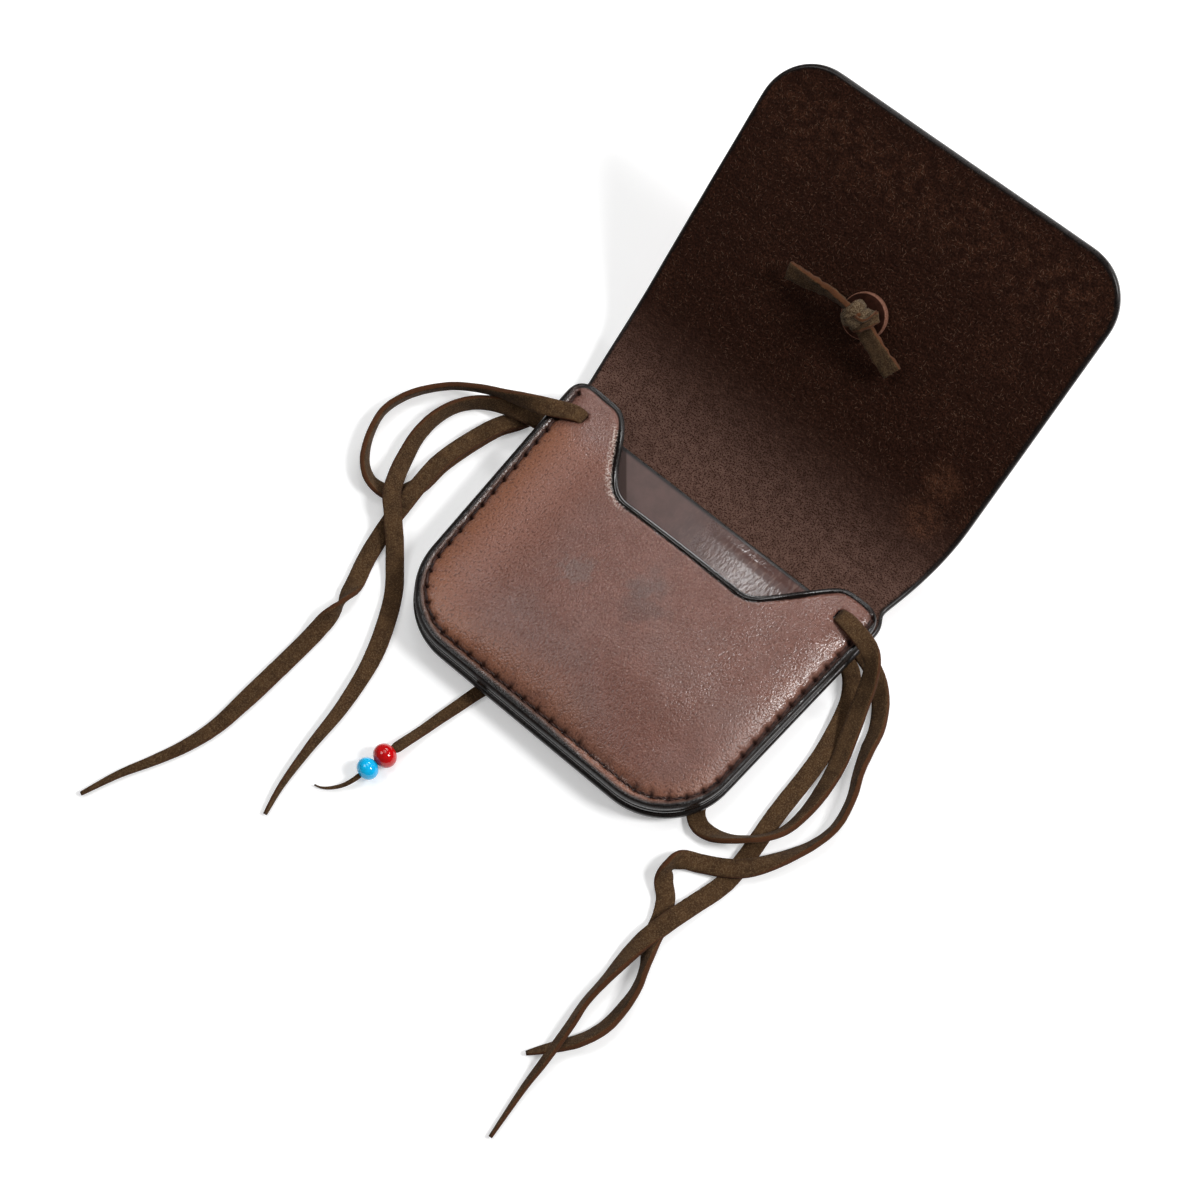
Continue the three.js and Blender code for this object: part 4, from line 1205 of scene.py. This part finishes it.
def buildWasher():
    cut = washerCut
    bpy.ops.object.select_all(action="DESELECT")
    bpy.ops.mesh.primitive_cylinder_add(vertices=cut["sides"], radius=cut["radius"], depth=cut["thickness"])
    piece = named("washer_disc")
    bevel = piece.modifiers.new("eased rim", "BEVEL")
    bevel.width, bevel.segments = cut["bevel"], cut["bevelSteps"]
    bpy.ops.object.modifier_apply(modifier=bevel.name)
    selectFaces(piece, lambda face: abs(face.normal.z) > 0.99)
    bpy.ops.mesh.inset(thickness=cut["inset"])
    bpy.ops.mesh.inset(thickness=cut["radius"] - cut["bevel"] - cut["inset"] - cut["hole"])
    bridgeBore()
    local = np.array([v.co for v in piece.data.vertices])
    radius = np.linalg.norm(local[:, :2], axis=1)
    lift = cut["tilt"] * ease((local @ cut["tiltWay"] + cut["tiltFrom"]) / cut["tiltRun"])
    wave = np.array([cut["wave"] * noise.noise(Vector(p) * cut["waveSize"]) for p in local])
    spread = local + cut["shift"]
    spread[:, 2] += cut["clear"] + cut["thickness"] / 2 + lift + wave
    corners = (onFlap(spread) + (0, foldY, 0)) * mm
    for vertex, corner in zip(piece.data.vertices, corners):
        vertex.co = corner
    bpy.ops.object.shade_smooth_by_angle(angle=smoothAngle)
    setPoints(piece, "cut", (radius > cut["radius"] - cut["rawRim"]).astype(float))
    return piece


settle(buildWasher(), "knot_washer", "flap", "washer_leather", washerFinish("raw_disc"))

# Knot on the flap: the width of each strand and its rows, x, y, z and the way across, x, y, z
knot = {"thickness": 2, "step": 0.7, "seed": 81.0, "seedStep": 7, "lump": 0.5, "lumpSize": 1.8,
        "wrapDome": 1.1, "wrapWornAndLit": 0.42, "tailCurl": 0.25, "tailWornAndLit": 0.06}
wrapAxis = np.array((0.9, -0.436, 0.0))
wrapSide = np.array((0.436, 0.9, 0.0))
wrapUp = np.array((0.0, 0.0, 1.0))


def wrapRows(startTurn, endTurn, radius, startShift, endShift, centre):
    rows = []
    for share in np.linspace(0, 1, 22):
        angle = math.radians(startTurn + (endTurn - startTurn) * share)
        out = wrapSide * math.cos(angle) + wrapUp * math.sin(angle)
        point = np.array(centre) + out * radius + wrapAxis * (startShift + (endShift - startShift) * share)
        rows.append((*point, *wrapAxis))
    return rows


knotStrands = {
    "first wrap": (4.2, wrapRows(-150, 205, 3.5, -2.0, -0.6, (-0.6, 0.6, 6.4))),
    "second wrap": (3.2, wrapRows(-170, 190, 2.9, 1.6, 2.8, (-0.6, 0.6, 6.2))),
    "cross wrap": (3, [
        (-3.6, -2, 5.6, 0.5, 0.4, 0.6), (-1.6, -2.2, 8.6, 0.5, 0.6, 0.4), (0.8, -0.9, 9.7, 0.5, 0.7, 0.1),
        (2.6, 1, 9.1, 0.6, 0.6, -0.2), (3.4, 2.9, 7.4, 0.6, 0.5, -0.4), (3.2, 3.8, 5.2, 0.6, 0.4, -0.5)]),
    "fold": (2.9, [
        (1.6, -2.6, 7.4, 0.5, -0.5, 0.7), (3, -1.2, 8.5, 0.6, -0.5, 0.6), (4.3, 0.6, 8.8, 0.6, -0.5, 0.6),
        (5.3, 2.3, 8.1, 0.6, -0.5, 0.6), (5.5, 3.4, 6.6, 0.6, -0.6, 0.4), (4.4, 3.6, 5, 0.6, -0.6, 0.4)]),
    "left tail": (5.9, [
        (1.5, 0.8, 7, 0, 0.3, 0.95), (-3, 1.2, 6.8, 0, 0.42, 0.91), (-8, 1.5, 5.9, 0, 0.45, 0.89),
        (-14, 1, 5.1, 0.02, 0.62, 0.78), (-20.5, 0, 4.5, 0.05, 0.82, 0.56),
        (-26.8, -1, 3.8, 0.08, 0.97, 0.2)]),
    "right tail": (5.9, [
        (-0.8, 0.6, 6.4, 0.3, 0.9, 0.3), (3.4, -1, 6.8, 0.42, 0.85, 0.3), (7.2, -2.9, 6.2, 0.44, 0.87, 0.2),
        (11.2, -4.9, 5.1, 0.44, 0.88, 0.12), (15, -6.7, 4, 0.43, 0.89, 0.08),
        (18.4, -8.3, 3.3, 0.43, 0.9, 0.05)]),
    "keeper": (4.2, [
        (0, 0.9, 6, 1, 0, 0), (0, 0.9, 0, 1, 0, 0), (0, 1, -4.5, 1, 0, 0), (0, 3.2, -11.1, 1, 0, 0),
        (0, 2.4, -14.7, 1, 0, 0), (0, 0, -16, 1, 0, 0), (0, -2.4, -14.7, 1, 0, 0),
        (0, -3.2, -11.1, 1, 0, 0), (0, -1, -4.5, 1, 0, 0), (0, -0.9, 0, 1, 0, 0), (0, -0.9, 6, 1, 0, 0)]),
}


def buildKnot():
    origin = np.array(flapPoint(0.0, flapCut["knotReach"], pouch["backThickness"]), float)
    axes = np.array([(1, 0, 0), (0, math.cos(riseAngle), math.sin(riseAngle)),
                     (0, -math.sin(riseAngle), math.cos(riseAngle))])
    strands = []
    for number, (name, (width, rows)) in enumerate(knotStrands.items()):
        line = smoothLine(rows, knot["step"])
        points, acrosses = origin + line[:, :3] @ axes, line[:, 3:] @ axes
        tangents = unit(np.gradient(points, axis=0))
        acrosses = unit(acrosses - tangents * np.sum(acrosses * tangents, axis=1)[:, None])
        # The wraps are paler than the tails: partly wear, partly a painted highlight
        curl, dome, wornAndLit = knot["tailCurl"], 0, knot["tailWornAndLit"]
        if "wrap" in name:
            curl, dome, wornAndLit = 0, knot["wrapDome"], knot["wrapWornAndLit"]
        strand = laceMesh("knot " + name, points, tangents, acrosses, np.full(len(points), width),
                          knot["thickness"], knot["seed"] + knot["seedStep"] * number, curl, dome)
        setPoints(strand, "wornAndLit", np.full(len(strand.data.vertices), wornAndLit))
        strands.append(strand)
    bpy.ops.object.select_all(action="DESELECT")
    for strand in strands:
        strand.select_set(True)
    bpy.context.view_layer.objects.active = strands[0]
    bpy.ops.object.join()
    piece = named("flap_knot")
    for vertex in piece.data.vertices:
        vertex.co += vertex.normal * knot["lump"] * mm * noise.noise(vertex.co / (knot["lumpSize"] * mm))
    return piece


# Painted shade: the knot's suede is a darker copy of the ties' suede, its cut edges kept brighter
settle(buildKnot(), "flap_tie", "flap", "suede", suedeFinish("knot_suede_painted_shade", 0.74, 1.2))
print("knot ready")

# Floor, light and camera
studio = {"floorSize": 8, "floorDrop": 0.0003, "floorColour": (0.86, 0.86, 0.86), "floorGlow": 0.3,
          "world": 0.13, "lampDistance": 1.1}
lamps = {
    "right_window": {"way": (0.6, 0.27, 0.75), "size": (0.26, 0.26), "power": 8.8},
    "overhead_soft": {"way": (-0.2, 0.28, 0.94), "size": (0.62, 0.62), "power": 1.5},
    "overhead_small": {"way": (-0.17, 0.31, 0.935), "size": (0.12, 0.12), "power": 0.65},
    "left_soft": {"way": (-0.45, -0.3, 0.84), "size": (0.4, 0.4), "power": 2.3},
    "rear_right": {"way": (0.38, 0.73, 0.57), "size": (0.06, 0.06), "power": 1.6},
    "rear_strip": {"way": (-0.23, 0.76, 0.6), "size": (0.4, 0.1), "power": 2.8},
}


def addAimed(name, data, place, ahead):
    holder = bpy.data.objects.new(name, data)
    holder.location = place
    holder.rotation_euler = ahead.to_track_quat("-Z", "Y").to_euler()
    bpy.context.scene.collection.objects.link(holder)
    return holder


def addLamp(name, cut):
    light = bpy.data.lights.new(name, "AREA")
    light.shape = "RECTANGLE"
    light.energy = cut["power"]
    light.size, light.size_y = cut["size"]
    way = Vector(cut["way"]).normalized()
    addAimed(name, light, way * studio["lampDistance"], -way)


def buildStudio():
    bpy.ops.object.select_all(action="DESELECT")
    bpy.ops.mesh.primitive_plane_add(size=studio["floorSize"], location=(0, 0, -studio["floorDrop"]))
    floor = named("studio_floor")
    material = newFinish("pale_floor")
    rays = addNode("LightPath")
    direct = most(rays.outputs["Is Camera Ray"], rays.outputs["Is Glossy Ray"])
    floor.data.materials.append(finished(material, {
        "Base Color": studio["floorColour"], "Roughness": 0.9, "Specular IOR Level": 0.1,
        "Emission Color": (1, 1, 1), "Emission Strength": times(direct, studio["floorGlow"])}))
    world = bpy.data.worlds.new("soft_room")
    world.use_nodes = True
    feed(world.node_tree.nodes["Background"], {"Color": (1, 1, 1), "Strength": studio["world"]})
    bpy.context.scene.world = world
    for name, cut in lamps.items():
        addLamp(name, cut)
    bpy.context.scene.view_settings.view_transform = "Standard"


photoView = {"azimuth": 40.47, "elevation": 69.07, "distance": 0.6249, "target": (-10.58, -51.17, 0),
             "lens": 60, "sensor": 36, "clipStart": 0.01}


def buildCamera():
    az, el = math.radians(photoView["azimuth"]), math.radians(photoView["elevation"])
    ahead = Vector((-math.sin(az) * math.cos(el), math.cos(az) * math.cos(el), -math.sin(el)))
    target = (Vector(photoView["target"]) + Vector((0, foldY, 0))) * mm
    data = bpy.data.cameras.new("photo_view")
    data.lens, data.sensor_width = photoView["lens"], photoView["sensor"]
    data.clip_start = photoView["clipStart"]
    bpy.context.scene.camera = addAimed("photo_view", data, target - ahead * photoView["distance"], ahead)


buildStudio()
buildCamera()
print("studio ready")
